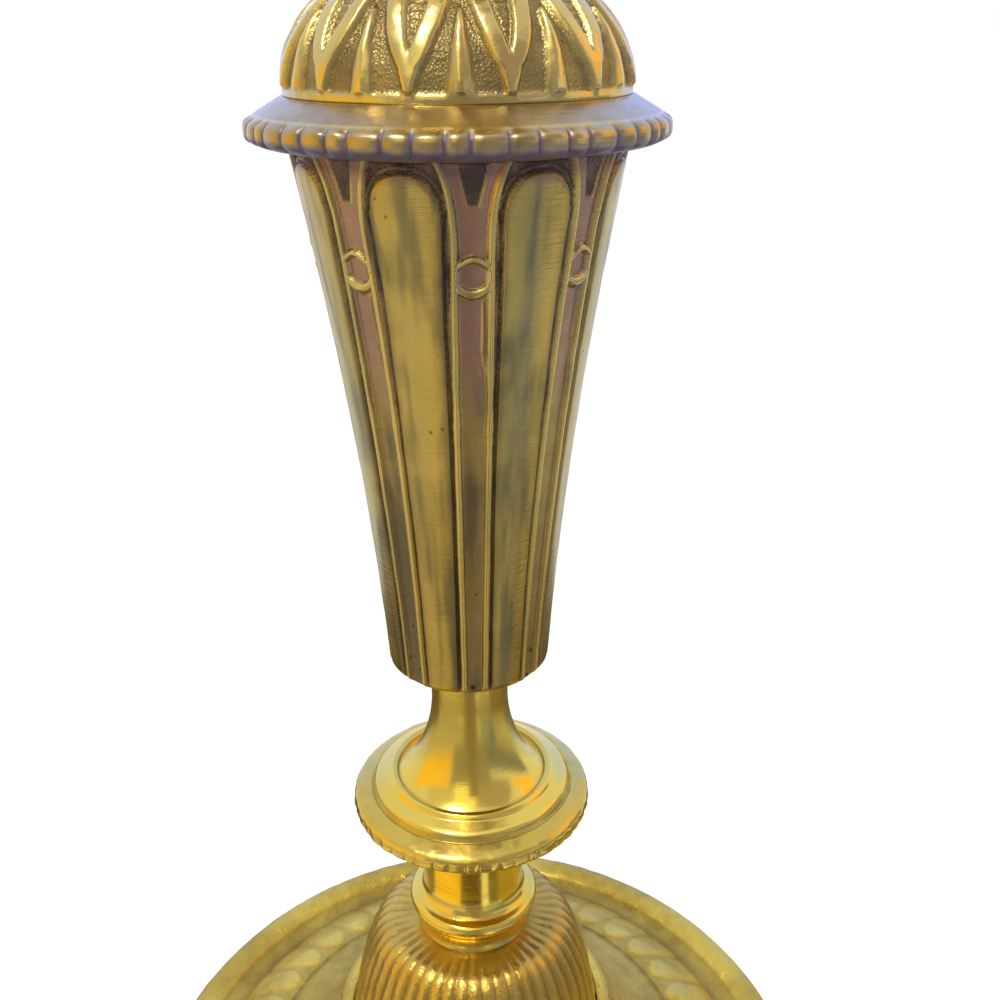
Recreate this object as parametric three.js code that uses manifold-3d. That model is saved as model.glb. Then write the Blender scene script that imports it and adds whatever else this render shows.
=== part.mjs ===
// Brass column candlestick, built as the castings and turnings that one steel rod clamps together:
// foot, reeded mound, spool collar, knop, trumpet neck, panelled stem, shoulder flange, leaf dome,
// upper collar and nozzle. A loose drip pan drops into the nozzle.
//
// Millimetres, +Z up. The origin is on the table, on the column's axis. Azimuth 0 faces the front
// (-Y) and grows towards +X.

import * as THREE from 'three';
import Module from 'manifold-3d';
import { mergeVertices } from 'three/addons/utils/BufferGeometryUtils.js';

// Heights of the joints between pieces
const FOOT_WEB_UNDERSIDE = 24;
const MOUND_SEAT = 27;
const SPOOL_SEAT = 52.5;
const KNOP_SEAT = 80;
const NECK_SEAT = 86.5;
const STEM_BOTTOM = 111.2;
const STEM_TOP = 197;
const DOME_SEAT = 203.5;
const COLLAR_SEAT = 220.5;
const NOZZLE_SEAT = 235;
const NOZZLE_TOP = 279;

// Radii that set the proportions
const FOOT_RADIUS = 69;
const LEAF_BAND_OUTER = 58;
const LEAF_BAND_INNER = 44.5;
const FOOT_LIP_RADIUS = 27.7;
const MOUND_RADIUS = 25.3;
const KNOP_RADIUS = 21.6;
const STEM_BOTTOM_RADIUS = 13.7;
const STEM_BOW_RADIUS = 16.3;
const STEM_TOP_RADIUS = 24.5;
const FLANGE_RADIUS = 30.3;
const DOME_RADIUS = 24.5;
const PAN_RADIUS = 27.6;

// Rod, its nut and washer, and the hole for it through every piece
const ROD_RADIUS = 3;
const ROD_HOLE_RADIUS = 3.4;
const ROD_BOTTOM = 13;
const ROD_TOP = 243;
const ROD_HOLE_TOP = 244;
const WASHER_RADIUS = 9;
const WASHER_THICKNESS = 1.5;
const NUT_ACROSS_CORNERS = 11.5;
const NUT_THICKNESS = 5;
const NUT_CLEARANCE = 0.1;

// Candle socket
const SOCKET_RADIUS = 12.6;
const SOCKET_FLOOR_RADIUS = 12.4;
const SOCKET_FLOOR = 247;
const SLEEVE_RADIUS = 12.2;
const CANDLE_RADIUS = 11.2;
const SLEEVE_BOTTOM = 262;

// Counts of the repeated ornament
const FOOT_LEAVES = 40;
const REEDS = 48;
const SCALLOPS = 48;
const PAN_SCALLOPS = 24;
const PANELS = 8;
const DOME_STRAPS = 12;
const NOZZLE_LOBES = 12;

// Depths of the ornament
const RIM_BOSS_HEIGHT = 0.9;
const FOOT_LEAF_HEIGHT = 1;
const REED_DEPTH = 0.55;
const SCALLOP_DEPTH = 0.7;
const STRAP_HEIGHT = 0.8;
const LANCET_HEIGHT = 0.5;
const LOBE_DEPTH = 0.9;

// Where the ornament stands round the axis
const STRIP_AZIMUTH = THREE.MathUtils.degToRad(4);
const STRAP_AZIMUTH = THREE.MathUtils.degToRad(-14.3);

const CURVE_STEPS = 3;
const PLAIN_FACETS = 20;
const TURN = 2 * Math.PI;

const clamp = THREE.MathUtils.clamp;
const smoothstep = THREE.MathUtils.smoothstep;

// Materials

function metal(name, color, roughness) {
  return new THREE.MeshStandardMaterial({ name, color, roughness, metalness: 1 });
}

const castBrass = () => metal('cast_brass', 0xa8893a, 0.42);
const polishedBrass = () => metal('polished_brass', 0xd9a93a, 0.2);
const stemBrass = () => metal('stem_brass', 0x94813f, 0.34);
const rodSteel = () => metal('rod_steel', 0x77777a, 0.45);

// Turning

// Turns an outline in the r, z plane about +Z. For an ornamented point the carving returns the
// radius, height and azimuth that it moves to. For a plain point it returns null: the point then
// shares the nearest of the fewer facets that plain work needs, one for each plainStep columns.
function turned(outline, columns, carve = () => null, plainStep = 1) {
  const points = outline.getPoints(CURVE_STEPS);
  const geometry = new THREE.LatheGeometry(points, columns);
  const position = geometry.getAttribute('position');
  for (let index = 0; index < position.count; index += 1) {
    const column = Math.floor(index / points.length);
    const point = points[index % points.length];
    const azimuth = (column / columns) * TURN;
    const plainAzimuth = ((Math.round(column / plainStep) * plainStep) / columns) * TURN;
    const carved = carve(point.x, point.y, azimuth, column);
    const [r, z, a] = carved ?? [point.x, point.y, plainAzimuth];
    position.setXYZ(index, r * Math.sin(a), -r * Math.cos(a), z);
  }
  return closed(geometry);
}

// Joins the vertices that meet, drops the facets that this leaves without area, and shades the rest
function closed(geometry) {
  const bare = geometry.clone();
  bare.deleteAttribute('normal');
  bare.deleteAttribute('uv');
  const merged = mergeVertices(bare, 1e-4);
  const facets = [];
  const corners = merged.getIndex().array;
  for (let start = 0; start < corners.length; start += 3) {
    const [a, b, c] = corners.slice(start, start + 3);
    if (a !== b && b !== c && c !== a) {
      facets.push(a, b, c);
    }
  }
  merged.setIndex(facets);
  merged.computeVertexNormals();
  return merged;
}

// Rounded tops with sharp valleys between them: 1 on each top, 0 in each valley
function gadroon(azimuth, count) {
  return Math.abs(Math.sin((azimuth * count) / 2));
}

// 1 at the centre of a band, 0 from its half width outwards
function band(value, centre, halfWidth) {
  return 1 - smoothstep(Math.abs(value - centre), 0, halfWidth);
}

function node(name, geometry, material) {
  const mesh = new THREE.Mesh(geometry, material);
  mesh.name = name;
  return mesh;
}

// Foot: web, hollow underside, resting ring, bossed rim, groove, leaf band, scotia and lip

const RIM_CREST = 66;

function footOutline() {
  const outline = new THREE.Path();
  outline.moveTo(ROD_HOLE_RADIUS, FOOT_WEB_UNDERSIDE);
  outline.lineTo(24, FOOT_WEB_UNDERSIDE);
  outline.lineTo(28, 17);
  outline.lineTo(36, 12);
  outline.lineTo(44, 8.6);
  outline.lineTo(57, 3);
  outline.lineTo(61.4, 0);
  outline.lineTo(FOOT_RADIUS - 0.6, 0);
  outline.lineTo(FOOT_RADIUS, 0.8);
  outline.lineTo(FOOT_RADIUS, 5);
  outline.lineTo(67.7, 5.7);
  outline.lineTo(RIM_CREST, 6);
  outline.lineTo(63.3, 5);
  outline.lineTo(60.8, 4);
  outline.lineTo(LEAF_BAND_OUTER, 5);
  for (const along of [0.08, 0.5, 0.84]) {
    const r = THREE.MathUtils.lerp(LEAF_BAND_OUTER, LEAF_BAND_INNER, along);
    outline.lineTo(r, leafBandHeight(r));
  }
  outline.lineTo(LEAF_BAND_INNER, leafBandHeight(LEAF_BAND_INNER));
  outline.lineTo(43.4, 11.6);
  outline.quadraticCurveTo(29.5, 15.5, FOOT_LIP_RADIUS, 28.6);
  outline.lineTo(26.8, 29.4);
  outline.lineTo(25.7, 29);
  outline.lineTo(25.7, MOUND_SEAT);
  outline.lineTo(ROD_HOLE_RADIUS, MOUND_SEAT);
  outline.lineTo(ROD_HOLE_RADIUS, FOOT_WEB_UNDERSIDE);
  return outline;
}

// The leaf band bulges up between its outer and inner edges
function leafBandHeight(r) {
  const along = (LEAF_BAND_OUTER - r) / (LEAF_BAND_OUTER - LEAF_BAND_INNER);
  return 5 + 7.2 * Math.sin((along * Math.PI) / 2) ** 0.9;
}

// Four columns to a leaf: its crest, its two edges, and the gap to the next leaf. The edges draw
// in towards the round inner end. The same columns carry two bosses on the rim.
const COLUMNS_PER_LEAF = 4;

function leafWidth(along) {
  return 0.86 * Math.sqrt(1 - clamp((along - 0.55) / 0.42, 0, 1) ** 2);
}

function footCarving(r, z, azimuth, column) {
  const pitch = TURN / FOOT_LEAVES;
  const place = column % COLUMNS_PER_LEAF;
  const leaf = Math.floor(column / COLUMNS_PER_LEAF) + (place === 3 ? 1 : 0);
  const side = [0, 1, 0, -1][place];
  const gap = place === 2;
  const centre = (gap ? leaf + 0.5 : leaf) * pitch;
  if (r === RIM_CREST) {
    const boss = side !== 0 ? RIM_BOSS_HEIGHT / 2 : -RIM_BOSS_HEIGHT / 2;
    return [r, z + boss, centre + (side * pitch) / 4];
  }
  const along = (LEAF_BAND_OUTER - r) / (LEAF_BAND_OUTER - LEAF_BAND_INNER);
  const onLeaves = along > 0.01 && along < 0.99 && z > leafBandHeight(r) - 1;
  if (!onLeaves) {
    return null;
  }
  const width = leafWidth(along);
  const crown = side === 0 && !gap ? FOOT_LEAF_HEIGHT * width : -0.15;
  return [r, z + crown, centre + (side * width * pitch) / 2];
}

function foot() {
  const columns = COLUMNS_PER_LEAF * FOOT_LEAVES;
  return node('foot', turned(footOutline(), columns, footCarving, COLUMNS_PER_LEAF), castBrass());
}

// Mound: a hollow bell whose reeds fade out on the flat crown

function moundOutline() {
  const outline = new THREE.Path();
  outline.moveTo(22.4, MOUND_SEAT);
  outline.lineTo(MOUND_RADIUS, MOUND_SEAT);
  outline.bezierCurveTo(23.4, 34.5, 22.2, 51.2, 15.5, 52.1);
  outline.lineTo(11, SPOOL_SEAT);
  outline.lineTo(ROD_HOLE_RADIUS, SPOOL_SEAT);
  outline.lineTo(ROD_HOLE_RADIUS, 49.5);
  outline.lineTo(14, 48.5);
  outline.lineTo(19, 42);
  outline.lineTo(22.4, MOUND_SEAT);
  return outline;
}

function moundCarving(r, z, azimuth) {
  const outside = r > 23 || (r > 15 && z > 46) || (r > 20 && z > 30);
  if (!outside) {
    return null;
  }
  const reeds = 1 - smoothstep(z, 50.5, 52.3);
  return [r - REED_DEPTH * reeds * (1 - gadroon(azimuth, REEDS)), z, azimuth];
}

function reededMound() {
  return node('reeded_mound', turned(moundOutline(), 2 * REEDS, moundCarving, 4), castBrass());
}

// Spool collar: a waisted drum on a base ring

function spoolCollar() {
  const outline = new THREE.Path();
  outline.moveTo(ROD_HOLE_RADIUS, SPOOL_SEAT);
  outline.lineTo(10.9, SPOOL_SEAT);
  outline.quadraticCurveTo(9.3, 56.2, 11.7, 58.6);
  outline.lineTo(12.2, 59.9);
  outline.lineTo(11.3, 61.4);
  outline.quadraticCurveTo(9.5, 61.6, 9.2, 64.2);
  outline.lineTo(9.2, 72);
  outline.lineTo(9.8, KNOP_SEAT);
  outline.lineTo(ROD_HOLE_RADIUS, KNOP_SEAT);
  outline.lineTo(ROD_HOLE_RADIUS, SPOOL_SEAT);
  return node('spool_collar', turned(outline, PLAIN_FACETS), polishedBrass());
}

// Knop: a disc with a chased edge and a shallow seat for the neck

function knopOutline() {
  const outline = new THREE.Path();
  outline.moveTo(ROD_HOLE_RADIUS, KNOP_SEAT);
  outline.lineTo(10.5, KNOP_SEAT);
  outline.lineTo(20.4, 80.9);
  outline.lineTo(KNOP_RADIUS, 81.7);
  outline.lineTo(KNOP_RADIUS, 83.4);
  outline.lineTo(20.7, 84.2);
  outline.lineTo(18.5, 85);
  outline.lineTo(18.1, 84.8);
  outline.lineTo(17.7, 85.4);
  outline.lineTo(15.2, 87.3);
  outline.lineTo(14.3, 88);
  outline.lineTo(13.6, 87.6);
  outline.lineTo(13.6, NECK_SEAT);
  outline.lineTo(ROD_HOLE_RADIUS, NECK_SEAT);
  outline.lineTo(ROD_HOLE_RADIUS, KNOP_SEAT);
  return outline;
}

// Scallops on an edge that starts at one radius and is fully cut at the next
function scalloped(r, z, azimuth, start, full, count = SCALLOPS) {
  const cut = SCALLOP_DEPTH * smoothstep(r, start, full);
  return r < start ? null : [r - cut * (1 - gadroon(azimuth, count)), z, azimuth];
}

function knop() {
  const carve = (r, z, azimuth) => scalloped(r, z, azimuth, 20.6, 21.2);
  return node('knop', turned(knopOutline(), 2 * SCALLOPS, carve, 4), polishedBrass());
}

// Trumpet neck: flares down into the knop

function trumpetNeck() {
  const outline = new THREE.Path();
  outline.moveTo(ROD_HOLE_RADIUS, NECK_SEAT);
  outline.lineTo(13.3, NECK_SEAT);
  outline.lineTo(13.2, 87.5);
  outline.bezierCurveTo(9, 90, 6.6, 94.5, 6.7, 102);
  outline.quadraticCurveTo(6.75, 107, 7.4, STEM_BOTTOM);
  outline.lineTo(ROD_HOLE_RADIUS, STEM_BOTTOM);
  outline.lineTo(ROD_HOLE_RADIUS, NECK_SEAT);
  return node('trumpet_neck', turned(outline, PLAIN_FACETS), polishedBrass());
}

// Stem: a tapered tube. Its panels keep round-arched heads. Between them run strips, each with a
// channel, two beads that splay out round the arches, an O-shaped link and a dart at the top.

const STEM_WALL = 3;
const STEM_FLOOR = 4;
const SPLAY_START = 184;
const ARCH_SPRING = 190.5;
const ARCH_RISE = 4.7;
const ARCH_SQUARENESS = 2.2;
const CHANNEL_DEPTH = 0.75;
const GROUND_DEPTH = 0.85;
const BEAD_HALF_WIDTH = 0.55;
const PANEL_EDGE_WIDTH = 0.3;
const DART_TIP = 191.3;
const DART_DEPTH = 0.6;
const HALF_PANEL_STEPS = 6;
const COLUMNS_PER_PANEL = 2 * HALF_PANEL_STEPS;

function stemRadius(z) {
  const t = (z - STEM_BOTTOM) / (STEM_TOP - STEM_BOTTOM);
  const s = 1 - t;
  return s * s * STEM_BOTTOM_RADIUS + 2 * s * t * STEM_BOW_RADIUS + t * t * STEM_TOP_RADIUS;
}

function stemOutline() {
  const outline = new THREE.Path();
  outline.moveTo(ROD_HOLE_RADIUS, STEM_BOTTOM);
  outline.lineTo(STEM_BOTTOM_RADIUS - 0.5, STEM_BOTTOM);
  const archRows = [ARCH_SPRING, 192.7, 194.3, 195.1];
  for (const z of [STEM_BOTTOM + 0.5, 136, 160, SPLAY_START, ...archRows, STEM_TOP]) {
    outline.lineTo(stemRadius(z), z);
  }
  outline.lineTo(stemRadius(STEM_TOP) - STEM_WALL, STEM_TOP);
  outline.lineTo(stemRadius(154) - STEM_WALL, 154);
  outline.lineTo(stemRadius(STEM_BOTTOM + STEM_FLOOR) - STEM_WALL, STEM_BOTTOM + STEM_FLOOR);
  outline.lineTo(ROD_HOLE_RADIUS, STEM_BOTTOM + STEM_FLOOR);
  outline.lineTo(ROD_HOLE_RADIUS, STEM_BOTTOM);
  return outline;
}

// From the middle of a strip to the crest of its bead: widens upwards, then splays above the link
function beadOffset(z) {
  const splay = Math.max(z - SPLAY_START, 0) / (STEM_TOP - SPLAY_START);
  return 1.72 + 0.75 * smoothstep(z, 105, 178) + 2.4 * splay ** 3;
}

// From the middle of a strip to the panel's edge, which follows the arch above the spring
function edgeOffset(z) {
  const groove = 1.28 + 0.6 * smoothstep(z, STEM_BOTTOM, SPLAY_START);
  const upright = beadOffset(Math.min(z, SPLAY_START)) + groove;
  if (z <= ARCH_SPRING) {
    return upright;
  }
  const halfPitch = Math.PI / PANELS;
  const halfPanel = stemRadius(ARCH_SPRING) * halfPitch - upright;
  const climb = clamp((z - ARCH_SPRING) / ARCH_RISE, 0, 1);
  const reach = (1 - climb ** ARCH_SQUARENESS) ** (1 / ARCH_SQUARENESS);
  return stemRadius(z) * halfPitch - halfPanel * reach;
}

// Offset and depth of one column of a half panel, from the strip's middle to the panel's middle
function stripPoint(step, z) {
  const bead = beadOffset(z);
  const edge = edgeOffset(z);
  const middle = (stemRadius(z) * Math.PI) / PANELS;
  const dart = smoothstep(z, DART_TIP, STEM_TOP);
  const panelDepth = z > ARCH_SPRING + ARCH_RISE ? GROUND_DEPTH : 0;
  const profile = [
    [0, CHANNEL_DEPTH + DART_DEPTH * dart],
    [bead - BEAD_HALF_WIDTH, CHANNEL_DEPTH],
    [bead, 0.05],
    [bead + BEAD_HALF_WIDTH, GROUND_DEPTH],
    [Math.min(edge, middle - 0.5), GROUND_DEPTH],
    [Math.min(edge + PANEL_EDGE_WIDTH, middle - 0.25), panelDepth],
    [middle, panelDepth],
  ];
  return profile[step];
}

function stemCarving(r, z, azimuth, column) {
  const surface = stemRadius(z);
  if (r < surface - STEM_WALL / 2) {
    return null;
  }
  const panel = Math.floor(column / COLUMNS_PER_PANEL);
  const place = column % COLUMNS_PER_PANEL;
  const side = place <= HALF_PANEL_STEPS ? 1 : -1;
  const step = side > 0 ? place : COLUMNS_PER_PANEL - place;
  const centre = STRIP_AZIMUTH + (TURN / PANELS) * (side > 0 ? panel : panel + 1);
  const [offset, depth] = stripPoint(step, z);
  return [r - depth, z, centre + (side * offset) / surface];
}

// O-shaped link that stands in a strip's channel: arched above, round below, and open in the middle
const LINK_HEIGHT = 5.4;
const LINK_MIDDLE = 181.6;
const LINK_HALF_WIDTH = 2.15;
const LINK_BAR = 0.75;
const LINK_PROUD = 0.2;
const LINK_THICKNESS = 1.3;

function linkRing(curve, halfWidth, halfHeight) {
  curve.moveTo(-halfWidth, halfHeight * 0.6);
  curve.lineTo(-halfWidth, -halfHeight * 0.5);
  curve.quadraticCurveTo(0, -halfHeight * 1.5, halfWidth, -halfHeight * 0.5);
  curve.lineTo(halfWidth, halfHeight * 0.6);
  curve.lineTo(0, halfHeight);
  curve.closePath();
  return curve;
}

function link(azimuth) {
  const shape = linkRing(new THREE.Shape(), LINK_HALF_WIDTH, LINK_HEIGHT / 2);
  const hole = linkRing(new THREE.Path(), LINK_HALF_WIDTH - LINK_BAR, LINK_HEIGHT / 2 - LINK_BAR);
  shape.holes.push(hole);
  const geometry = new THREE.ExtrudeGeometry(shape, {
    depth: LINK_THICKNESS,
    bevelEnabled: false,
    curveSegments: CURVE_STEPS,
  });
  const radius = stemRadius(LINK_MIDDLE);
  const slope = stemRadius(LINK_MIDDLE + 0.5) - stemRadius(LINK_MIDDLE - 0.5);
  geometry.translate(0, 0, LINK_PROUD - LINK_THICKNESS);
  geometry.rotateX(Math.PI / 2 + Math.atan(slope));
  geometry.translate(0, -radius, LINK_MIDDLE);
  geometry.rotateZ(azimuth);
  return closed(geometry);
}

function stem(wasm) {
  const tube = turned(stemOutline(), PANELS * COLUMNS_PER_PANEL, stemCarving, 4);
  let body = solid(wasm, tube);
  for (let panel = 0; panel < PANELS; panel += 1) {
    const azimuth = STRIP_AZIMUTH + (TURN / PANELS) * panel;
    body = body.add(solid(wasm, link(azimuth)));
  }
  return node('stem', surface(body), stemBrass());
}

// Shoulder flange: a ring that drops into the stem, with a chased edge and a sloped top

function flangeOutline() {
  const outline = new THREE.Path();
  outline.moveTo(17.9, 193);
  outline.lineTo(20.6, 193);
  outline.lineTo(20.6, STEM_TOP);
  outline.lineTo(25.2, STEM_TOP);
  outline.lineTo(29.2, 197.8);
  outline.lineTo(FLANGE_RADIUS, 198.5);
  outline.lineTo(FLANGE_RADIUS, 200.1);
  outline.lineTo(29.4, 200.9);
  outline.lineTo(24.9, DOME_SEAT);
  outline.lineTo(17.9, DOME_SEAT);
  outline.lineTo(17.9, 193);
  return outline;
}

function shoulderFlange() {
  const carve = (r, z, azimuth) => scalloped(r, z, azimuth, 28.9, 29.8);
  return node('shoulder_flange', turned(flangeOutline(), 2 * SCALLOPS, carve, 3), stemBrass());
}

// Leaf dome: twelve V-shaped straps on stalks, and a lancet leaf between each pair

const DOME_SPRING = 204.3;
const DOME_RISE = 17.7;
const DOME_CROWN_RADIUS = 9.2;

function domeHeight(r) {
  return DOME_SPRING + DOME_RISE * Math.sqrt(1 - (r / DOME_RADIUS) ** 2);
}

function domeOutline() {
  const outline = new THREE.Path();
  outline.moveTo(14.8, 200);
  outline.lineTo(17.6, 200);
  outline.lineTo(17.6, DOME_SEAT);
  outline.lineTo(DOME_RADIUS, DOME_SEAT);
  outline.lineTo(DOME_RADIUS, DOME_SPRING);
  for (const r of [24.4, 23.5, 21.4, 18, 13.6, DOME_CROWN_RADIUS]) {
    outline.lineTo(r, r > DOME_CROWN_RADIUS ? domeHeight(r) : COLLAR_SEAT);
  }
  outline.lineTo(ROD_HOLE_RADIUS, COLLAR_SEAT);
  outline.lineTo(ROD_HOLE_RADIUS, 217);
  outline.lineTo(9, 216.4);
  outline.lineTo(14.8, 212.5);
  outline.lineTo(14.8, 200);
  return outline;
}

// Straps and lancets. A climb is a share of the shell's height.
const HALF_STRAP_STEPS = 6;
const COLUMNS_PER_STRAP = 2 * HALF_STRAP_STEPS;
const FORK_CLIMB = 0.2;
const STALK_HALF_WIDTH = 0.55;
const FORK_HALF_WIDTH = 1.6;
const ARM_HALF_WIDTH = 1.2;
const ARM_SPREAD = 0.74;
const ARM_LIMIT = 0.86;
const LANCET_CLIMB = 0.62;
const LANCET_HALF_WIDTH = 1.3;

// Offset and height of one column, from the middle of a strap to the middle of the next lancet.
// Below the fork the strap is one stalk; above it, two arms that spread round a lower ground.
function strapPoint(step, climb, halfPitch) {
  const spread = clamp((climb - FORK_CLIMB) / (1 - FORK_CLIMB), 0, 1) ** 0.7;
  const armMiddle = ARM_SPREAD * halfPitch * spread;
  const stalkHalf = THREE.MathUtils.lerp(STALK_HALF_WIDTH, FORK_HALF_WIDTH, climb / FORK_CLIMB);
  const armHalf = climb < FORK_CLIMB ? stalkHalf : ARM_HALF_WIDTH;
  const outer = Math.min(armMiddle + armHalf, ARM_LIMIT * halfPitch);
  const inner = Math.max(armMiddle - armHalf, 0.1 * outer);
  const forked = armMiddle > armHalf;
  const lancetHalf = LANCET_HALF_WIDTH * Math.sqrt(clamp(1 - climb / LANCET_CLIMB, 0, 1));
  const lancetEdge = Math.max(halfPitch - lancetHalf, outer + 0.05 * halfPitch);
  const ground = forked ? STRAP_HEIGHT / 4 : STRAP_HEIGHT;
  const profile = [
    [0, ground],
    [inner, ground],
    [THREE.MathUtils.lerp(inner, outer, 0.25), STRAP_HEIGHT],
    [THREE.MathUtils.lerp(inner, outer, 0.8), STRAP_HEIGHT],
    [outer, 0],
    [lancetEdge, 0],
    [halfPitch, lancetHalf > 0 ? LANCET_HEIGHT : 0],
  ];
  return profile[step];
}

function domeCarving(r, z, azimuth, column) {
  const onShell = r > DOME_CROWN_RADIUS && z > DOME_SPRING && z > domeHeight(r) - 1.5;
  if (!onShell) {
    return null;
  }
  const climb = (z - DOME_SPRING) / (COLLAR_SEAT - DOME_SPRING);
  const strap = Math.floor(column / COLUMNS_PER_STRAP);
  const place = column % COLUMNS_PER_STRAP;
  const side = place <= HALF_STRAP_STEPS ? 1 : -1;
  const step = side > 0 ? place : COLUMNS_PER_STRAP - place;
  const centre = STRAP_AZIMUTH + (TURN / DOME_STRAPS) * (side > 0 ? strap : strap + 1);
  const [offset, height] = strapPoint(step, climb, (r * Math.PI) / DOME_STRAPS);
  return [r + height - STRAP_HEIGHT / 2, z, centre + (side * offset) / r];
}

function leafDome() {
  const columns = COLUMNS_PER_STRAP * DOME_STRAPS;
  return node('leaf_dome', turned(domeOutline(), columns, domeCarving, 6), castBrass());
}

// Upper collar: a small turned neck with a bead

function upperCollar() {
  const outline = new THREE.Path();
  outline.moveTo(ROD_HOLE_RADIUS, COLLAR_SEAT);
  outline.lineTo(8.9, COLLAR_SEAT);
  outline.lineTo(9.4, 221.4);
  outline.lineTo(8.8, 222.3);
  outline.quadraticCurveTo(5.6, 224.5, 6.6, 230.4);
  outline.quadraticCurveTo(11.2, 231.9, 7, 233.4);
  outline.lineTo(7, NOZZLE_SEAT);
  outline.lineTo(ROD_HOLE_RADIUS, NOZZLE_SEAT);
  outline.lineTo(ROD_HOLE_RADIUS, COLLAR_SEAT);
  return node('upper_collar', turned(outline, PLAIN_FACETS), polishedBrass());
}

// Nozzle: a lobed vase with a plain waist and a moulded rim, bored for the candle

function nozzleOutline() {
  const outline = new THREE.Path();
  outline.moveTo(0, ROD_HOLE_TOP);
  outline.lineTo(ROD_HOLE_RADIUS, ROD_HOLE_TOP);
  outline.lineTo(ROD_HOLE_RADIUS, NOZZLE_SEAT);
  outline.lineTo(8.6, NOZZLE_SEAT);
  outline.quadraticCurveTo(16.6, 238.5, 16.4, 249.5);
  outline.lineTo(14.6, 252);
  outline.quadraticCurveTo(13.6, 264, 15.8, 274.4);
  outline.lineTo(17.4, 275.8);
  outline.lineTo(17.4, 278.2);
  outline.lineTo(16.8, NOZZLE_TOP);
  outline.lineTo(SOCKET_RADIUS, NOZZLE_TOP);
  outline.lineTo(SOCKET_FLOOR_RADIUS, SOCKET_FLOOR);
  outline.lineTo(0, SOCKET_FLOOR);
  return outline;
}

function nozzleCarving(r, z, azimuth) {
  const lobes = r > 8 ? band(z, 244, 8.2) : 0;
  if (lobes === 0 || r < SOCKET_RADIUS && z > SOCKET_FLOOR - 1) {
    return null;
  }
  return [r - LOBE_DEPTH * lobes * (1 - gadroon(azimuth, NOZZLE_LOBES)), z, azimuth];
}

function nozzle() {
  return node('nozzle', turned(nozzleOutline(), 4 * NOZZLE_LOBES, nozzleCarving, 2), polishedBrass());
}

// Drip pan: a shallow dish with a chased edge, on a sleeve that drops into the nozzle

function panOutline() {
  const outline = new THREE.Path();
  outline.moveTo(CANDLE_RADIUS, SLEEVE_BOTTOM);
  outline.lineTo(SLEEVE_RADIUS, SLEEVE_BOTTOM);
  outline.lineTo(SLEEVE_RADIUS, NOZZLE_TOP);
  outline.lineTo(16.4, NOZZLE_TOP);
  outline.quadraticCurveTo(23, 279.8, 26.6, 282.4);
  outline.lineTo(PAN_RADIUS, 283.1);
  outline.lineTo(PAN_RADIUS, 284.6);
  outline.lineTo(26.7, 285);
  outline.quadraticCurveTo(22, 281.2, 15, 280.9);
  outline.lineTo(CANDLE_RADIUS + 0.5, 280.9);
  outline.lineTo(CANDLE_RADIUS, 280.4);
  outline.lineTo(CANDLE_RADIUS, SLEEVE_BOTTOM);
  return outline;
}

function dripPan() {
  const carve = (r, z, azimuth) => scalloped(r, z, azimuth, 26.4, 27.3, PAN_SCALLOPS);
  return node('drip_pan', turned(panOutline(), 2 * PAN_SCALLOPS, carve, 2), polishedBrass());
}

// Rod, washer and nut

function tieRod() {
  const outline = new THREE.Path();
  outline.moveTo(0, ROD_BOTTOM);
  outline.lineTo(ROD_RADIUS - 0.5, ROD_BOTTOM);
  outline.lineTo(ROD_RADIUS, ROD_BOTTOM + 0.5);
  outline.lineTo(ROD_RADIUS, ROD_TOP - 0.5);
  outline.lineTo(ROD_RADIUS - 0.5, ROD_TOP);
  outline.lineTo(0, ROD_TOP);
  return node('tie_rod', turned(outline, 16), rodSteel());
}

function footWasher() {
  const bottom = FOOT_WEB_UNDERSIDE - WASHER_THICKNESS;
  const outline = new THREE.Path();
  outline.moveTo(ROD_HOLE_RADIUS, bottom);
  outline.lineTo(WASHER_RADIUS, bottom);
  outline.lineTo(WASHER_RADIUS, FOOT_WEB_UNDERSIDE);
  outline.lineTo(ROD_HOLE_RADIUS, FOOT_WEB_UNDERSIDE);
  outline.lineTo(ROD_HOLE_RADIUS, bottom);
  return node('foot_washer', turned(outline, 16), rodSteel());
}

// The nut's corners are turned off where the hexagon meets a low cone above and below
function footNut(wasm) {
  const top = FOOT_WEB_UNDERSIDE - WASHER_THICKNESS;
  const middle = top - NUT_THICKNESS / 2;
  const corner = NUT_ACROSS_CORNERS / 2;
  const hexagon = new THREE.CylinderGeometry(corner, corner, NUT_THICKNESS, 6);
  hexagon.rotateX(Math.PI / 2);
  hexagon.translate(0, 0, middle);
  const chamfer = new THREE.Path();
  chamfer.moveTo(ROD_RADIUS + NUT_CLEARANCE, top - NUT_THICKNESS);
  chamfer.lineTo(corner - 0.8, top - NUT_THICKNESS);
  chamfer.lineTo(corner + 0.2, middle - 2);
  chamfer.lineTo(corner + 0.2, middle + 2);
  chamfer.lineTo(corner - 0.8, top);
  chamfer.lineTo(ROD_RADIUS + NUT_CLEARANCE, top);
  chamfer.lineTo(ROD_RADIUS + NUT_CLEARANCE, top - NUT_THICKNESS);
  const blank = solid(wasm, closed(hexagon));
  const turnedBlank = solid(wasm, turned(chamfer, 18));
  return node('foot_nut', surface(blank.intersect(turnedBlank)), rodSteel());
}

function solid(wasm, geometry) {
  const vertProperties = Float32Array.from(geometry.getAttribute('position').array);
  const triVerts = Uint32Array.from(geometry.getIndex().array);
  return new wasm.Manifold(new wasm.Mesh({ numProp: 3, vertProperties, triVerts }));
}

function surface(manifold) {
  const mesh = manifold.getMesh();
  const geometry = new THREE.BufferGeometry();
  geometry.setAttribute('position', new THREE.BufferAttribute(mesh.vertProperties, 3));
  geometry.setIndex(new THREE.BufferAttribute(mesh.triVerts, 1));
  geometry.computeVertexNormals();
  return geometry;
}

const wasm = await Module();
wasm.setup();

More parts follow.
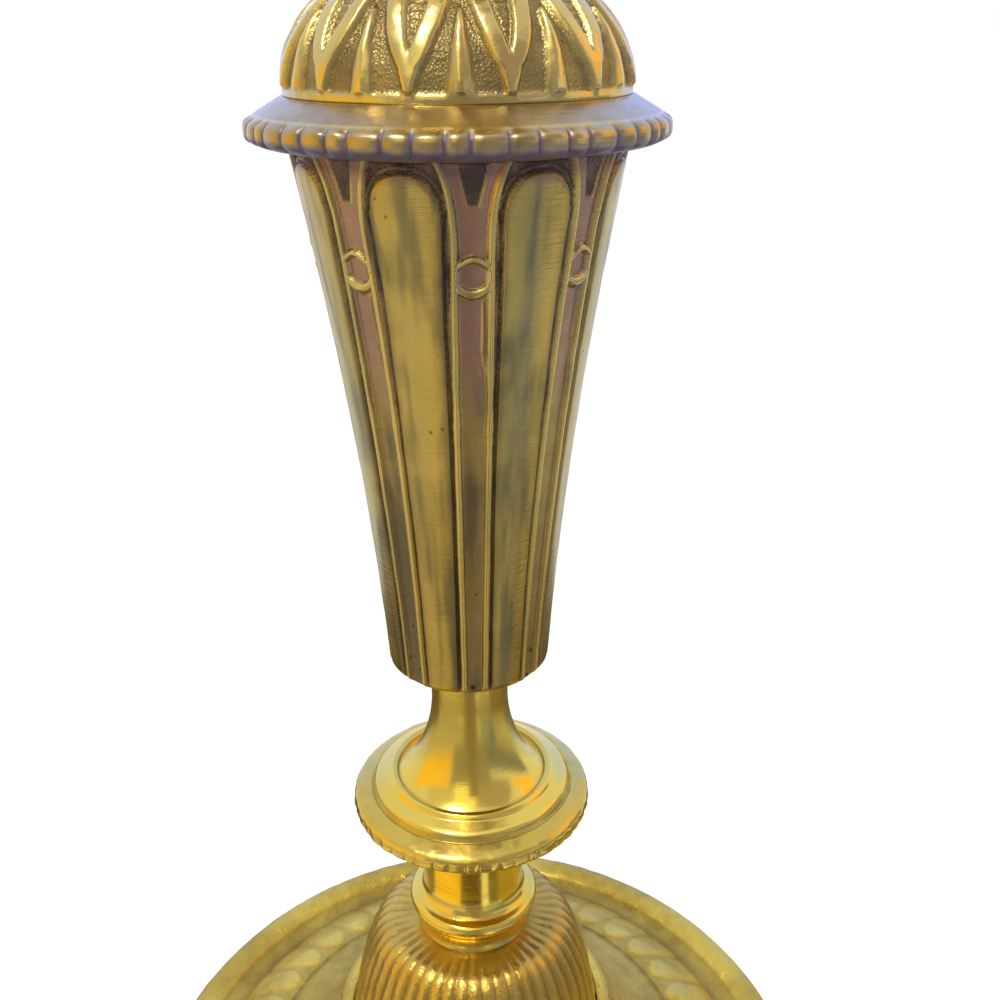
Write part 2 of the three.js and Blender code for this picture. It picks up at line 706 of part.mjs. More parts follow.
const group = new THREE.Group();
group.name = 'candlestick';
group.add(foot());
group.add(reededMound());
group.add(spoolCollar());
group.add(knop());
group.add(trumpetNeck());
group.add(stem(wasm));
group.add(shoulderFlange());
group.add(leafDome());
group.add(upperCollar());
group.add(nozzle());
group.add(dripPan());
group.add(tieRod());
group.add(footWasher());
group.add(footNut(wasm));

export default group;
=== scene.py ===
"""Chased brass candlestick: its visible pieces, their finishes, the camera and the stage.

Every piece is turned round the column's axis from an outline in the r, z plane, with its ornament
raised along the outline's normal. Azimuth 0 faces the front (-Y) and grows towards +X. Outlines
are in millimetres and meshes in metres.
"""

import math

import bpy
import numpy as np
from mathutils import Matrix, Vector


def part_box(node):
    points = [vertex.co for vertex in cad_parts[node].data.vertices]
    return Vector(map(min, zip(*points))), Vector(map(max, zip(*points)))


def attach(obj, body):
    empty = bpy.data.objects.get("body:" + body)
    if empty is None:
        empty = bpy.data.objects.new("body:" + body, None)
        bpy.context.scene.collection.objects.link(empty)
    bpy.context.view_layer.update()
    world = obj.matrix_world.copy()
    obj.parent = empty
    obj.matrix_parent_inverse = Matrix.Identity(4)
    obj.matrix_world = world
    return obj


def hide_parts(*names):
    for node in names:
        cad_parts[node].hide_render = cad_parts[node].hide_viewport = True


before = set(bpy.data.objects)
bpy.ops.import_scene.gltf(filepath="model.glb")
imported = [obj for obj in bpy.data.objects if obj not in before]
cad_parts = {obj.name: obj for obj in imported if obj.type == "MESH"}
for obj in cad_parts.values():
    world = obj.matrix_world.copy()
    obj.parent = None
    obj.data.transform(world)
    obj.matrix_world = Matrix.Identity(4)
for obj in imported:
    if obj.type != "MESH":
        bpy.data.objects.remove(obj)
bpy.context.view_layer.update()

bl_info = {
    "name": "Brass candlestick",
    "version": (1, 0, 0),
    "blender": (4, 5, 0),
    "location": "3D View > Sidebar > Candlestick",
    "description": "A chased brass column candlestick with a loose drip pan, its finishes and its stage",
    "category": "Object",
}

MM = 0.001
TURN = 2 * math.pi


def low(node):
    """Height of a node's lowest point."""
    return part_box(node)[0].z / MM


def high(node):
    """Height of a node's highest point."""
    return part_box(node)[1].z / MM


# Heights of the joints between pieces, read from the frame

FOOT_WEB_UNDERSIDE = high("foot_washer")
MOUND_SEAT = low("reeded_mound")
SPOOL_SEAT = low("spool_collar")
KNOP_SEAT = low("knop")
NECK_SEAT = low("trumpet_neck")
STEM_BOTTOM = low("stem")
STEM_TOP = high("stem")
DOME_SEAT = high("shoulder_flange")
COLLAR_SEAT = low("upper_collar")
NOZZLE_SEAT = low("nozzle")
NOZZLE_TOP = high("nozzle")
SLEEVE_BOTTOM = low("drip_pan")
ROD_BOTTOM = low("tie_rod")
ROD_TOP = high("tie_rod")
NUT_BOTTOM = low("foot_nut")
NUT_TOP = high("foot_nut")

# Radii, counts and the few other heights that the pieces share with the frame

ROD_RADIUS = 3
ROD_HOLE_RADIUS = 3.4
WASHER_RADIUS = 9
NUT_RADIUS = 5.75
FOOT_RADIUS = 69
LEAF_BAND_OUTER = 58
LEAF_BAND_INNER = 44.5
MOUND_RADIUS = 25.3
DRUM_RADIUS = 9.2
DRUM_BASE_RADIUS = 12.2
NECK_SEAT_RADIUS = 13.4
KNOP_RADIUS = 21.6
STEM_BOTTOM_RADIUS = 13.7
STEM_TOP_RADIUS = 24.5
FLANGE_RADIUS = 30.3
DOME_RADIUS = 24.5
DOME_SPRING = 204.3
DOME_RISE = 17.7
DOME_CROWN_RADIUS = 9.2
SOCKET_RADIUS = 12.4
SOCKET_MOUTH_RADIUS = 12.6
SOCKET_FLOOR = 247
PAN_RADIUS = 27.6
SLEEVE_RADIUS = 12.2
CANDLE_RADIUS = 11.2
FOOT_LEAVES = 40
REEDS = 48
SCALLOPS = 48
PAN_SCALLOPS = 24
SCALLOP_SECTORS = 12
PANELS = 8
STRAPS = 12
NOZZLE_LOBES = 12
STRIP_AZIMUTH = math.radians(4)
STRAP_AZIMUTH = math.radians(-14.3)


# Outlines

CORNER = 0.22
FINE_CORNER = 0.1
CORNER_SHARE = 0.22
SHARP_BEND = math.radians(18)


class Outline:
    """A profile in the r, z plane, outside on the right of its direction, with a zone for each stretch."""

    def __init__(self, r, z):
        self.points = [np.array((r, z), float)]
        self.zones = []

    def line(self, r, z, zone="plain", step=None):
        """A straight stretch, cut into equal steps of about the given length. Gives back the outline."""
        start = self.points[-1]
        end = np.array((r, z), float)
        count = max(1, round(np.linalg.norm(end - start) / step)) if step else 1
        for k in range(count):
            self._add(start + (end - start) * (k + 1) / count, zone)
        return self

    def lines(self, *corners, zone="plain"):
        """Straight stretches through several corners."""
        for r, z in corners:
            self.line(r, z, zone)

    def curve(self, *controls, steps, zone="plain"):
        """A Bezier stretch whose last control is its end."""
        nodes = [self.points[-1]] + [np.array(c, float) for c in controls]
        for t in np.linspace(0, 1, steps + 1)[1:]:
            level = nodes
            while len(level) > 1:
                level = [a * (1 - t) + b * t for a, b in zip(level, level[1:])]
            self._add(level[0], zone)

    def through(self, places, zone):
        """A stretch through the places that a formula gives."""
        for r, z in places:
            self._add(np.array((r, z), float), zone)

    def _add(self, point, zone):
        self.points.append(point)
        self.zones.append(zone)

    def finished(self, corner):
        """Radii, heights, normals, zones and whether it closes on itself, with sharp corners rounded."""
        closed = np.allclose(self.points[0], self.points[-1])
        rows = self._rounded(closed, corner)
        places = np.array([place for place, _ in rows])
        zones = np.array([zone for _, zone in rows])
        steps = np.roll(places, -1, axis=0) - places
        if not closed:
            steps[-1] = steps[-2]
        steps /= np.linalg.norm(steps, axis=1, keepdims=True)
        before = np.roll(steps, 1, axis=0)
        if not closed:
            before[0] = steps[0]
        along = steps + before
        along /= np.linalg.norm(along, axis=1, keepdims=True)
        return places[:, 0], places[:, 1], along[:, 1], -along[:, 0], zones, closed

    def _rounded(self, closed, corner):
        """Places with their zones, where five places round each sharp corner stand in for the corner."""
        points = self.points[:-1] if closed else self.points
        count = len(points)
        rows = []
        for k, here in enumerate(points):
            before = self.zones[k - 1]
            after = self.zones[k % len(self.zones)]
            if not closed and k in (0, count - 1):
                rows.append((here, before if k else after))
                continue
            back = points[k - 1] - here
            ahead = points[(k + 1) % count] - here
            long_back = np.linalg.norm(back)
            long_ahead = np.linalg.norm(ahead)
            bend = math.acos(np.clip(-(back @ ahead) / (long_back * long_ahead), -1, 1))
            if bend < SHARP_BEND:
                rows.append((here, before))
                continue
            cut = min(corner, CORNER_SHARE * min(long_back, long_ahead))
            near_back = here + back / long_back * cut
            near_ahead = here + ahead / long_ahead * cut
            rows.append((here + back / long_back * cut * 2, before))
            rows.append((near_back, before))
            rows.append((here * 0.5 + (near_back + near_ahead) * 0.25, before))
            rows.append((near_ahead, after))
            rows.append((here + ahead / long_ahead * cut * 2, after))
        return rows


# Shapes of ornament, on arrays of places


def smooth(value, start, end):
    """0 at the start, 1 at the end, with a soft change between."""
    t = np.clip((value - start) / (end - start), 0, 1)
    return t * t * (3 - 2 * t)


def ridge(distance, half_width):
    """A round-backed ridge, 1 on its crest and 0 from its half width outwards."""
    return np.sqrt(np.clip(1 - (distance / half_width) ** 2, 0, 1))


def plateau(distance, half_width, edge):
    """A flat band with soft edges: 1 inside the half width, 0 one edge outside it."""
    return 1 - smooth(np.abs(distance), half_width - edge / 2, half_width + edge / 2)


def lobes(azimuth, pitch, fullness):
    """Rounded tops with sharp valleys between them: 1 on each top, 0 in each valley.

    The lower the fullness, the broader the tops and the narrower the valleys.
    """
    return np.abs(np.cos(azimuth * math.pi / pitch)) ** fullness


def valley_columns(pitch, count, across):
    """Azimuths across so many lobes, closest together in the valleys between them."""
    one = np.sin(np.linspace(-math.pi / 2, math.pi / 2, count + 1)) * pitch / 2
    crests = np.arange(-across, across + 1) * pitch
    columns = np.unique(np.round(np.add.outer(crests, one), 8))
    return columns[np.abs(columns) < across * pitch / 2 + 1e-7]


class Relief:
    """Height of the ornament over one sector, in millimetres, and the marks that its finish reads."""

    # Of these marks, the first darkens with patina in hollows and with painted shade under and round
    # things, the third is a painted pink reflection, the fourth brightens with rubbed brass and painted
    # highlights, and the fifth is a pale tone on the foot and a painted highlight on the stem's links
    MARKS = ("patina_and_shade", "stipple", "painted_pink", "rubbed_and_highlight", "pale", "pitted", "hand")

    def __init__(self, azimuth, r, z, zones):
        self.azimuth, self.r, self.z = np.broadcast_arrays(azimuth[:, None], r[None, :], z[None, :])
        self.zones = np.broadcast_to(zones[None, :], self.r.shape)
        self.arc = self.azimuth * self.r
        self.height = np.zeros(self.r.shape)
        self.marks = {name: np.zeros(self.r.shape) for name in self.MARKS}

    def on(self, *zones):
        """1 on the named zones, 0 elsewhere."""
        return np.isin(self.zones, zones).astype(float)

    def mark(self, name, value):
        """Raises one mark to a value where that is more."""
        self.marks[name] = np.clip(np.maximum(self.marks[name], value), 0, 1)


def sector(name, outline, pitch, columns, ornament=None, corner=CORNER):
    """A mesh of one sector of a turned outline, centred on azimuth 0.

    Columns is a count of equal columns or a list of their azimuths.
    """
    r, z, out_r, out_z, zones, closed = outline.finished(corner)
    if np.isscalar(columns):
        columns = np.linspace(-pitch / 2, pitch / 2, columns + 1)
    relief = Relief(np.asarray(columns, float), r, z, zones)
    if ornament:
        ornament(relief)
    reach = relief.r + relief.height * out_r
    level = relief.z + relief.height * out_z
    places = np.stack((reach * np.sin(relief.azimuth), -reach * np.cos(relief.azimuth), level), -1) * MM
    across, along = places.shape[:2]
    index = np.arange(across * along).reshape(across, along)
    ahead = np.roll(index, -1, axis=1)
    faces = np.stack((index[:-1], index[1:], ahead[1:], ahead[:-1]), -1)
    faces = faces if closed else faces[:, :-1]
    mesh = bpy.data.meshes.new(name)
    mesh.from_pydata(places.reshape(-1, 3).tolist(), [], faces.reshape(-1, 4).tolist())
    for mark, value in relief.marks.items():
        attribute = mesh.attributes.new(mark, "FLOAT", "POINT")
        attribute.data.foreach_set("value", value.astype(np.float32).ravel())
    return mesh


# Node trees

REPEAT_TREE = "Repeat round the axis"
WAVER_SEED = 4.0
SEAM_GAP = 2e-6


class Wire:
    """An output socket. Arithmetic on it adds Math nodes to the same tree."""

    def __init__(self, graph, socket):
        self.graph = graph
        self.socket = socket

    def _math(self, operation, *values):
        return self.graph.node("ShaderNodeMath", {"operation": operation}, dict(enumerate(values)))

    def __add__(self, other):
        return self._math("ADD", self, other)

    def __radd__(self, other):
        return self._math("ADD", other, self)

    def __sub__(self, other):
        return self._math("SUBTRACT", self, other)

    def __rsub__(self, other):
        return self._math("SUBTRACT", other, self)

    def __mul__(self, other):
        return self._math("MULTIPLY", self, other)

    def __truediv__(self, other):
        return self._math("DIVIDE", self, other)

    def __rtruediv__(self, other):
        return self._math("DIVIDE", other, self)

    def least(self, other):
        return self._math("MINIMUM", self, other)

    def most(self, other):
        return self._math("MAXIMUM", self, other)

    def between(self, start, end):
        """0 at the start, 1 at the end, with a soft change between."""
        sockets = {"Value": self, "From Min": start, "From Max": end}
        return self.graph.node("ShaderNodeMapRange", {"interpolation_type": "SMOOTHSTEP"}, sockets)


class Graph:
    """Adds nodes to one tree."""

    def __init__(self, tree):
        self.tree = tree

    def node(self, kind, settings=None, sockets=None, output=0):
        """Adds a node, sets it, feeds its sockets with values or wires, and returns one output."""
        node = self.tree.nodes.new(kind)
        node.location = (220 * len(self.tree.nodes), 0)
        for key, value in (settings or {}).items():
            setattr(node, key, value)
        for key, value in (sockets or {}).items():
            self.feed(node.inputs[key], value)
        return Wire(self, node.outputs[output]) if node.outputs else None

    def feed(self, socket, value):
        if isinstance(value, Wire):
            self.tree.links.new(value.socket, socket)
        else:
            socket.default_value = value


def repeat_tree():
    """The tree that repeats a sector round the axis, wavers it as hand work does and sets its material."""
    tree = bpy.data.node_groups.new(REPEAT_TREE, "GeometryNodeTree")
    inputs = (
        ("Sector", "NodeSocketGeometry", None),
        ("Count", "NodeSocketInt", 1),
        ("First azimuth", "NodeSocketFloat", 0.0),
        ("Waver", "NodeSocketFloat", 0.0),
        ("Waver length", "NodeSocketFloat", 0.01),
        ("Material", "NodeSocketMaterial", None),
    )
    for name, kind, default in inputs:
        socket = tree.interface.new_socket(name, in_out="INPUT", socket_type=kind)
        if default is not None:
            socket.default_value = default
    tree.interface.new_socket("Piece", in_out="OUTPUT", socket_type="NodeSocketGeometry")
    graph = Graph(tree)
    source = tree.nodes.new("NodeGroupInput")
    given = {name: Wire(graph, source.outputs[name]) for name, _, _ in inputs}
    points = graph.node("GeometryNodePoints", None, {"Count": given["Count"]})
    index = graph.node("GeometryNodeInputIndex")
    azimuth = index * TURN / given["Count"] + given["First azimuth"]
    turn = graph.node("ShaderNodeCombineXYZ", None, {"Z": azimuth})
    turn = graph.node("FunctionNodeEulerToRotation", None, {0: turn})
    placed = {"Points": points, "Instance": given["Sector"], "Rotation": turn}
    ring = graph.node("GeometryNodeInstanceOnPoints", None, placed)
    ring = graph.node("GeometryNodeRealizeInstances", None, {"Geometry": ring})
    ring = graph.node("GeometryNodeMergeByDistance", None, {"Geometry": ring, "Distance": SEAM_GAP})
    detail = {"Scale": 1 / given["Waver length"], "Detail": 2.0, "W": WAVER_SEED}
    noise = graph.node("ShaderNodeTexNoise", {"noise_dimensions": "4D"}, detail, "Color")
    centred = graph.node("ShaderNodeVectorMath", {"operation": "SUBTRACT"}, {0: noise, 1: (0.5, 0.5, 0.5)})
    hand = graph.node("GeometryNodeInputNamedAttribute", {"data_type": "FLOAT"}, {"Name": "hand"})
    amount = hand * given["Waver"]
    offset = graph.node("ShaderNodeVectorMath", {"operation": "SCALE"}, {0: centred, "Scale": amount})
    ring = graph.node("GeometryNodeSetPosition", None, {"Geometry": ring, "Offset": offset})
    ring = graph.node("GeometryNodeSetShadeSmooth", None, {"Geometry": ring})
    ring = graph.node("GeometryNodeSetMaterial", None, {"Geometry": ring, "Material": given["Material"]})
    graph.node("NodeGroupOutput", None, {"Piece": ring})
    return tree


def turned(name, node, mesh, count, material, first=0.0, waver=0.0, waver_length=4.0, body="column"):
    """Repeats a sector round the axis, makes the result a plain mesh, and seats it in place of a node.

    First is the azimuth of the first sector, waver a share of the setting for hand work, and
    waver_length the distance over which that strays, in millimetres.
    """
    tree = bpy.data.node_groups.get(REPEAT_TREE) or repeat_tree()
    piece = bpy.data.objects.new(name, mesh)
    bpy.context.scene.collection.objects.link(piece)
    modifier = piece.modifiers.new("Repeat", "NODES")
    modifier.node_group = tree
    sockets = {item.name: item.identifier for item in tree.interface.items_tree}
    modifier[sockets["Count"]] = count
    modifier[sockets["First azimuth"]] = first
    modifier[sockets["Waver"]] = waver * bpy.context.scene.candlestick_ornament.waver
    modifier[sockets["Waver length"]] = waver_length * MM
    modifier[sockets["Material"]] = material
    depsgraph = bpy.context.evaluated_depsgraph_get()
    depsgraph.update()
    result = bpy.data.meshes.new_from_object(
        piece.evaluated_get(depsgraph), preserve_all_data_layers=True, depsgraph=depsgraph
    )
    if not result.polygons:
        raise RuntimeError(f"{name} came out empty")
    piece.modifiers.remove(modifier)
    piece.data = result
    result.name = name
    bpy.data.meshes.remove(mesh)
    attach(piece, body)
    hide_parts(node)


# Finishes


def linear(srgb):
    """A linear colour from red, green and blue out of 255."""
    shares = [c / 255 for c in srgb]
    return tuple(s / 12.92 if s < 0.04045 else ((s + 0.055) / 1.055) ** 2.4 for s in shares)


def opaque(colour):
    """A colour with full alpha."""
    return tuple(colour) + (1.0,)


class Paint(Graph):
    """One material's tree, ending in a Principled shader."""

    def __init__(self, name, slot):
        self.material = bpy.data.materials.new(name)
        self.material["slot"] = slot
        self.material.use_nodes = True
        super().__init__(self.material.node_tree)
        self.shader = self.tree.nodes["Principled BSDF"]
        self.place = self.node("ShaderNodeTexCoord", None, None, "Object")

    def colour(self, setting):
        """The colour of one finish setting."""
        return opaque(getattr(bpy.context.scene.candlestick_finish, setting))

    def mark(self, name):
        """One of the marks that the ornament left on the mesh."""
        return self.node("ShaderNodeAttribute", {"attribute_name": name}, None, "Fac")

    def stretched(self, across, along):
        """Object coordinates scaled alike in X and Y, and otherwise along Z."""
        scale = {0: self.place, 1: (across, across, along)}
        return self.node("ShaderNodeVectorMath", {"operation": "MULTIPLY"}, scale)

    def noise(self, scale, detail=3.0, vector=None):
        """Noise with a scale per metre."""
        sockets = {"Vector": vector or self.place, "Scale": scale, "Detail": detail, "Roughness": 0.55}
        return self.node("ShaderNodeTexNoise", None, sockets)

    def cells(self, scale):
        """Distance from the middle of each of many small cells, with a scale per metre."""
        sockets = {"Vector": self.place, "Scale": scale}
        return self.node("ShaderNodeTexVoronoi", None, sockets, "Distance")

    def mix(self, first, second, share):
        sockets = {0: share, 6: first, 7: second}
        return self.node("ShaderNodeMix", {"data_type": "RGBA"}, sockets, 2)

    def bump(self, height, distance):
        return self.node("ShaderNodeBump", None, {"Height": height, "Distance": distance, "Strength": 1.0})

    def finish(self, colour, roughness, metallic, normal):
        self.feed(self.shader.inputs["Base Color"], colour)
        self.feed(self.shader.inputs["Roughness"], roughness)
        self.feed(self.shader.inputs["Metallic"], metallic)
        self.feed(self.shader.inputs["Normal"], normal)
        return self.material


# For each brass: its slot, the settings that hold its colour, second tone and patina (which also carries
# painted shade), its roughness, the depths of its cast skin and tool lines, and how much it is streaked
# and pitted. Grain is per metre.
BRASSES = {
    "Foot brass": {
        "slot": "cast_brass", "colour": "foot", "tone": "foot_tone", "patina_and_shade": "olive",
        "roughness": 0.37, "cast": 1.1, "lines": 0.1, "streaks": 0.2, "pitting": 0.6, "grain": 1900.0,
    },
    "Mound brass": {
        "slot": "cast_brass", "colour": "mound", "tone": "mound_tone", "patina_and_shade": "umber",
        "roughness": 0.34, "cast": 0.4, "lines": 0.1, "streaks": 0.2, "pitting": 0.6, "grain": 1900.0,
    },
    "Dome brass": {
        "slot": "cast_brass", "colour": "dome", "tone": "dome_tone", "patina_and_shade": "umber",
        "roughness": 0.28, "cast": 0.16, "lines": 0.08, "streaks": 0.2, "pitting": 0.6, "grain": 2600.0,
    },
    "Stem brass": {
        "slot": "stem_brass", "colour": "stem", "tone": "stem_tone", "patina_and_shade": "patina_and_shade",
        "roughness": 0.27, "cast": 0.1, "lines": 0.3, "streaks": 0.85, "pitting": 0.6, "grain": 1900.0,
    },
    "Shoulder brass": {
        "slot": "stem_brass", "colour": "shoulder", "tone": "shoulder_tone", "patina_and_shade": "violet",
        "roughness": 0.31, "cast": 0.14, "lines": 0.2, "streaks": 0.3, "pitting": 0.6, "grain": 1900.0,
    },
    "Polished brass": {
        "slot": "polished_brass", "colour": "polished", "tone": "polished_tone", "patina_and_shade": "umber",
        "roughness": 0.19, "cast": 0.05, "lines": 0.1, "streaks": 0.0, "pitting": 0.0, "grain": 1900.0,
    },
}
BRASS_BUMP = 0.0002
STEEL_BUMP = 0.00012


def brass(name, slot, colour, tone, patina_and_shade, roughness, cast, lines, streaks, pitting, grain):
    """Brass with drifting tone, patina in its recesses and painted shade under and round things, punched
    grain, rubbed high spots with painted highlights, painted reflections and tool lines.
    """
    paint = Paint(name, slot)
    # Patina in the hollows, together with painted shade under and round things
    recess = paint.mark("patina_and_shade")
    rubbed_and_highlight = paint.mark("rubbed_and_highlight")
    stipple = paint.mark("stipple")
    painted_pink = paint.mark("painted_pink")
    pale = paint.mark("pale")

    # Patches about 20 mm wide, clouds of 3 mm, lines round the turning, and long upright streaks
    drift = paint.noise(48.0)
    cloud = paint.noise(330.0, 4.0)
    tooling = paint.noise(1.0, 3.0, paint.stretched(170.0, 2600.0))
    upright = paint.noise(1.0, 2.0, paint.stretched(300.0, 11.0))

    # Small pits in a few clusters, and larger ones where the ornament asks for them
    pits = 1 - paint.cells(430.0).between(0.07, 0.15)
    pits = pits * paint.noise(110.0, 1.0).between(0.6, 0.68) * pitting
    pits = pits.most((1 - paint.cells(560.0).between(0.2, 0.32)) * paint.mark("pitted") * 0.8)
    # Patina and painted shade, clouded
    dirt_and_shade = (recess * (0.9 + (cloud - 0.5) * 0.9)).least(1.0).most(0.0)

    # Colour from the metal up to what has settled on it, with painted reflections, painted highlights and
    # painted shade laid on
    base = paint.mix(paint.colour(colour), paint.colour(tone), drift.between(0.36, 0.66))
    # Upright grey-green streaks: tarnish and painted reflections of the room
    tarnish_and_reflection = upright.between(0.42, 0.64) * drift.between(0.3, 0.55) * streaks
    base = paint.mix(base, paint.colour("tarnish_and_reflection"), tarnish_and_reflection)
    # Painted pink reflection on the channel floors, and painted shade under the flange
    base = paint.mix(base, paint.colour("painted_pink"), painted_pink * 0.75)
    # Rubbed brass with painted highlights on the crests
    base = paint.mix(base, paint.colour("highlight"), rubbed_and_highlight * 0.55)
    base = paint.mix(base, paint.colour("pale"), pale * (0.4 + cloud * 0.6))
    base = paint.mix(base, paint.colour(patina_and_shade), (dirt_and_shade + pits).least(0.96))

    # Dull where the film and the painted shade lie, and a skin of cast grain, tool lines, punch marks and
    # pits
    rough = roughness + dirt_and_shade * 0.2 + (cloud - 0.5) * 0.12 - rubbed_and_highlight * 0.05 + (tooling - 0.5) * lines * 0.25
    punched = paint.cells(grain)
    skin = paint.noise(900.0)
    height = skin * cast + tooling * lines + stipple * punched * 0.9 - pits * 0.5
    return paint.finish(base, rough.most(0.05), 1 - dirt_and_shade * 0.35, paint.bump(height, BRASS_BUMP))


def steel(name):
    """Plain steel with turning marks and a brown film in its threads."""
    paint = Paint(name, "rod_steel")
    film = paint.noise(260.0, 4.0)
    lines = paint.noise(1.0, 2.0, paint.stretched(300.0, 5200.0))
    recess = paint.mark("patina_and_shade")
    browned = recess * 0.6 + film.between(0.5, 0.72) * 0.4
    base = paint.mix(paint.colour("steel"), paint.colour("rust"), browned)
    normal = paint.bump(lines * 0.5 + film * 0.4, STEEL_BUMP)
    return paint.finish(base, 0.36 + film * 0.2, 1 - recess * 0.3, normal)


def finish_of(kind):
    """The material of one kind, made when it is first asked for."""
    if kind in bpy.data.materials:
        return bpy.data.materials[kind]
    if kind in BRASSES:
        return brass(kind, **BRASSES[kind])
    return steel(kind)


# Foot

RIM_MIDDLE = 65.9
RIM_HALF = 2.6
LIP_HEIGHT = 30


def inwards(r):
    """How far in over the band of leaves a radius is: 0 at its outer edge, 1 at its inner."""
    return (LEAF_BAND_OUTER - r) / (LEAF_BAND_OUTER - LEAF_BAND_INNER)


def leaf_band_height(r):
    return 5 + 7.2 * math.sin(inwards(r) * math.pi / 2) ** 0.9


def foot_outline():
    outline = Outline(ROD_HOLE_RADIUS, FOOT_WEB_UNDERSIDE)
    outline.lines((24, FOOT_WEB_UNDERSIDE), (28, 17), (36, 12), (44, 8.6), (57, 3), (61.4, 0))
    outline.lines((FOOT_RADIUS - 0.6, 0), (FOOT_RADIUS, 0.8))
    outline.line(FOOT_RADIUS, 4.8, "rim", 1.0)
    outline.curve((68.9, 5.4), (67.7, 5.7), zone="rim", steps=4)
    outline.curve((66, 6.4), (63.6, 5.3), (63.3, 5), zone="rim", steps=10)
    outline.curve((62, 4.1), (60.8, 4), zone="groove", steps=6)
    outline.curve((59.4, 4), (LEAF_BAND_OUTER, 5), zone="groove", steps=5)
    radii = np.linspace(LEAF_BAND_OUTER, LEAF_BAND_INNER, 44)[1:]
    outline.through([(r, leaf_band_height(r)) for r in radii], "leaves")
    outline.line(43.8, 12, "cavetto", 0.4)
    outline.curve((29.5, 15.5), (27.7, 28.6), zone="cavetto", steps=26)
    outline.curve((27.5, 29.8), (26.4, LIP_HEIGHT), zone="cavetto", steps=5)
    outline.lines((24.75, 29.6), (25.4, 28.4), (25.5, MOUND_SEAT), (ROD_HOLE_RADIUS, MOUND_SEAT))
    return outline.line(ROD_HOLE_RADIUS, FOOT_WEB_UNDERSIDE)


def foot_ornament(relief):
    """Bumps on the rim, a ring of leaves with round inner ends, and pale streaks up the flare."""
    sizes = bpy.context.scene.candlestick_ornament
    pitch = TURN / FOOT_LEAVES
    rim = relief.on("rim")
    bumps = lobes(relief.azimuth + pitch / 4, pitch / 2, 0.8)
    crest = rim * plateau(relief.r - RIM_MIDDLE, RIM_HALF, 1.4) * smooth(relief.z, 4.4, 5)
    relief.height += crest * (bumps - 0.5) * sizes.rim_bump / MM
    relief.mark("patina_and_shade", rim * (0.2 + 0.35 * (1 - smooth(relief.z, 3.6, 5))))
    relief.mark("patina_and_shade", relief.on("groove") * 0.6)

    leaves = relief.on("leaves")
    along = inwards(relief.r)
    across = 2 * relief.azimuth / pitch
    width = 0.98 * np.sqrt(1 - np.clip((along - 0.55) / 0.42, 0, 1) ** 2)
    inside = smooth(width - np.abs(across), 0, 0.24) * smooth(along, 0.01, 0.08)
    crown = np.sqrt(np.clip(1 - (across / np.maximum(width, 0.05)) ** 2, 0, 1))
    end = smooth(along, 0.35, 0.75) * (1 - smooth(along, 0.86, 0.97))
    leaf = inside * (0.35 + 0.65 * crown) * (0.8 + 0.2 * end)
    relief.height += leaves * (leaf - 0.35) * sizes.leaf_height / MM
    relief.mark("patina_and_shade", leaves * (0.12 + (1 - inside) * (0.26 + 0.12 * smooth(along, 0.7, 0.95))))
    # Rubbed brass with a painted highlight near the leaves' inner ends
    relief.mark("rubbed_and_highlight", leaves * inside * crown * end * 0.12)
    relief.mark("stipple", leaves * (1 - inside) * 0.3)

    cavetto = relief.on("cavetto")
    rise = smooth(relief.z, 16.5, 24) * (1 - smooth(relief.z, 28.6, 29.6))
    streaks = lobes(relief.azimuth, pitch / 2, 0.9)
    relief.height += cavetto * rise * (streaks - 0.6) * 0.25
    # Painted shade in the cavetto below the leaves, and between the pale streaks
    relief.mark("patina_and_shade", cavetto * smooth(relief.r, 41.5, 43.6) * 0.8)
    relief.mark("patina_and_shade", cavetto * (0.42 * (1 - rise) + 0.2 * (1 - streaks) * rise))
    relief.mark("pale", cavetto * rise * (0.4 + 0.5 * streaks))
    relief.mark("hand", relief.on("rim", "leaves", "cavetto"))


# Mound

MOUND_HOLLOW_RADIUS = 22.4


def mound_outline():
    outline = Outline(MOUND_HOLLOW_RADIUS, MOUND_SEAT)
    outline.line(MOUND_RADIUS, MOUND_SEAT)
    outline.curve((23.4, 34.5), (22.2, 51.2), (15.5, 52.1), zone="reeds", steps=52)
    outline.line(11, SPOOL_SEAT, "reeds", 1.5)
    outline.lines((ROD_HOLE_RADIUS, SPOOL_SEAT), (ROD_HOLE_RADIUS, 49.5), (14, 48.5), (19, 42))
    return outline.line(MOUND_HOLLOW_RADIUS, MOUND_SEAT)


def mound_ornament(relief):
    """Upright reeds that fade out on the flat crown."""
    sizes = bpy.context.scene.candlestick_ornament
    reeds = lobes(relief.azimuth, TURN / REEDS, 0.9)
    fade = relief.on("reeds") * (0.45 * smooth(relief.r, 11.2, 14.5) + 0.55 * smooth(relief.r, 16, 21))
    relief.height += fade * (reeds - 1) * sizes.reed_depth / MM
    relief.mark("patina_and_shade", fade * (1 - smooth(reeds, 0.1, 0.6)) * 0.7)
    # Rubbed brass with a painted highlight on the reeds' crests
    relief.mark("rubbed_and_highlight", fade * smooth(reeds, 0.8, 1) * 0.5)
    relief.mark("stipple", fade * 0.4)
    relief.mark("hand", relief.on("reeds"))


# Turned collars


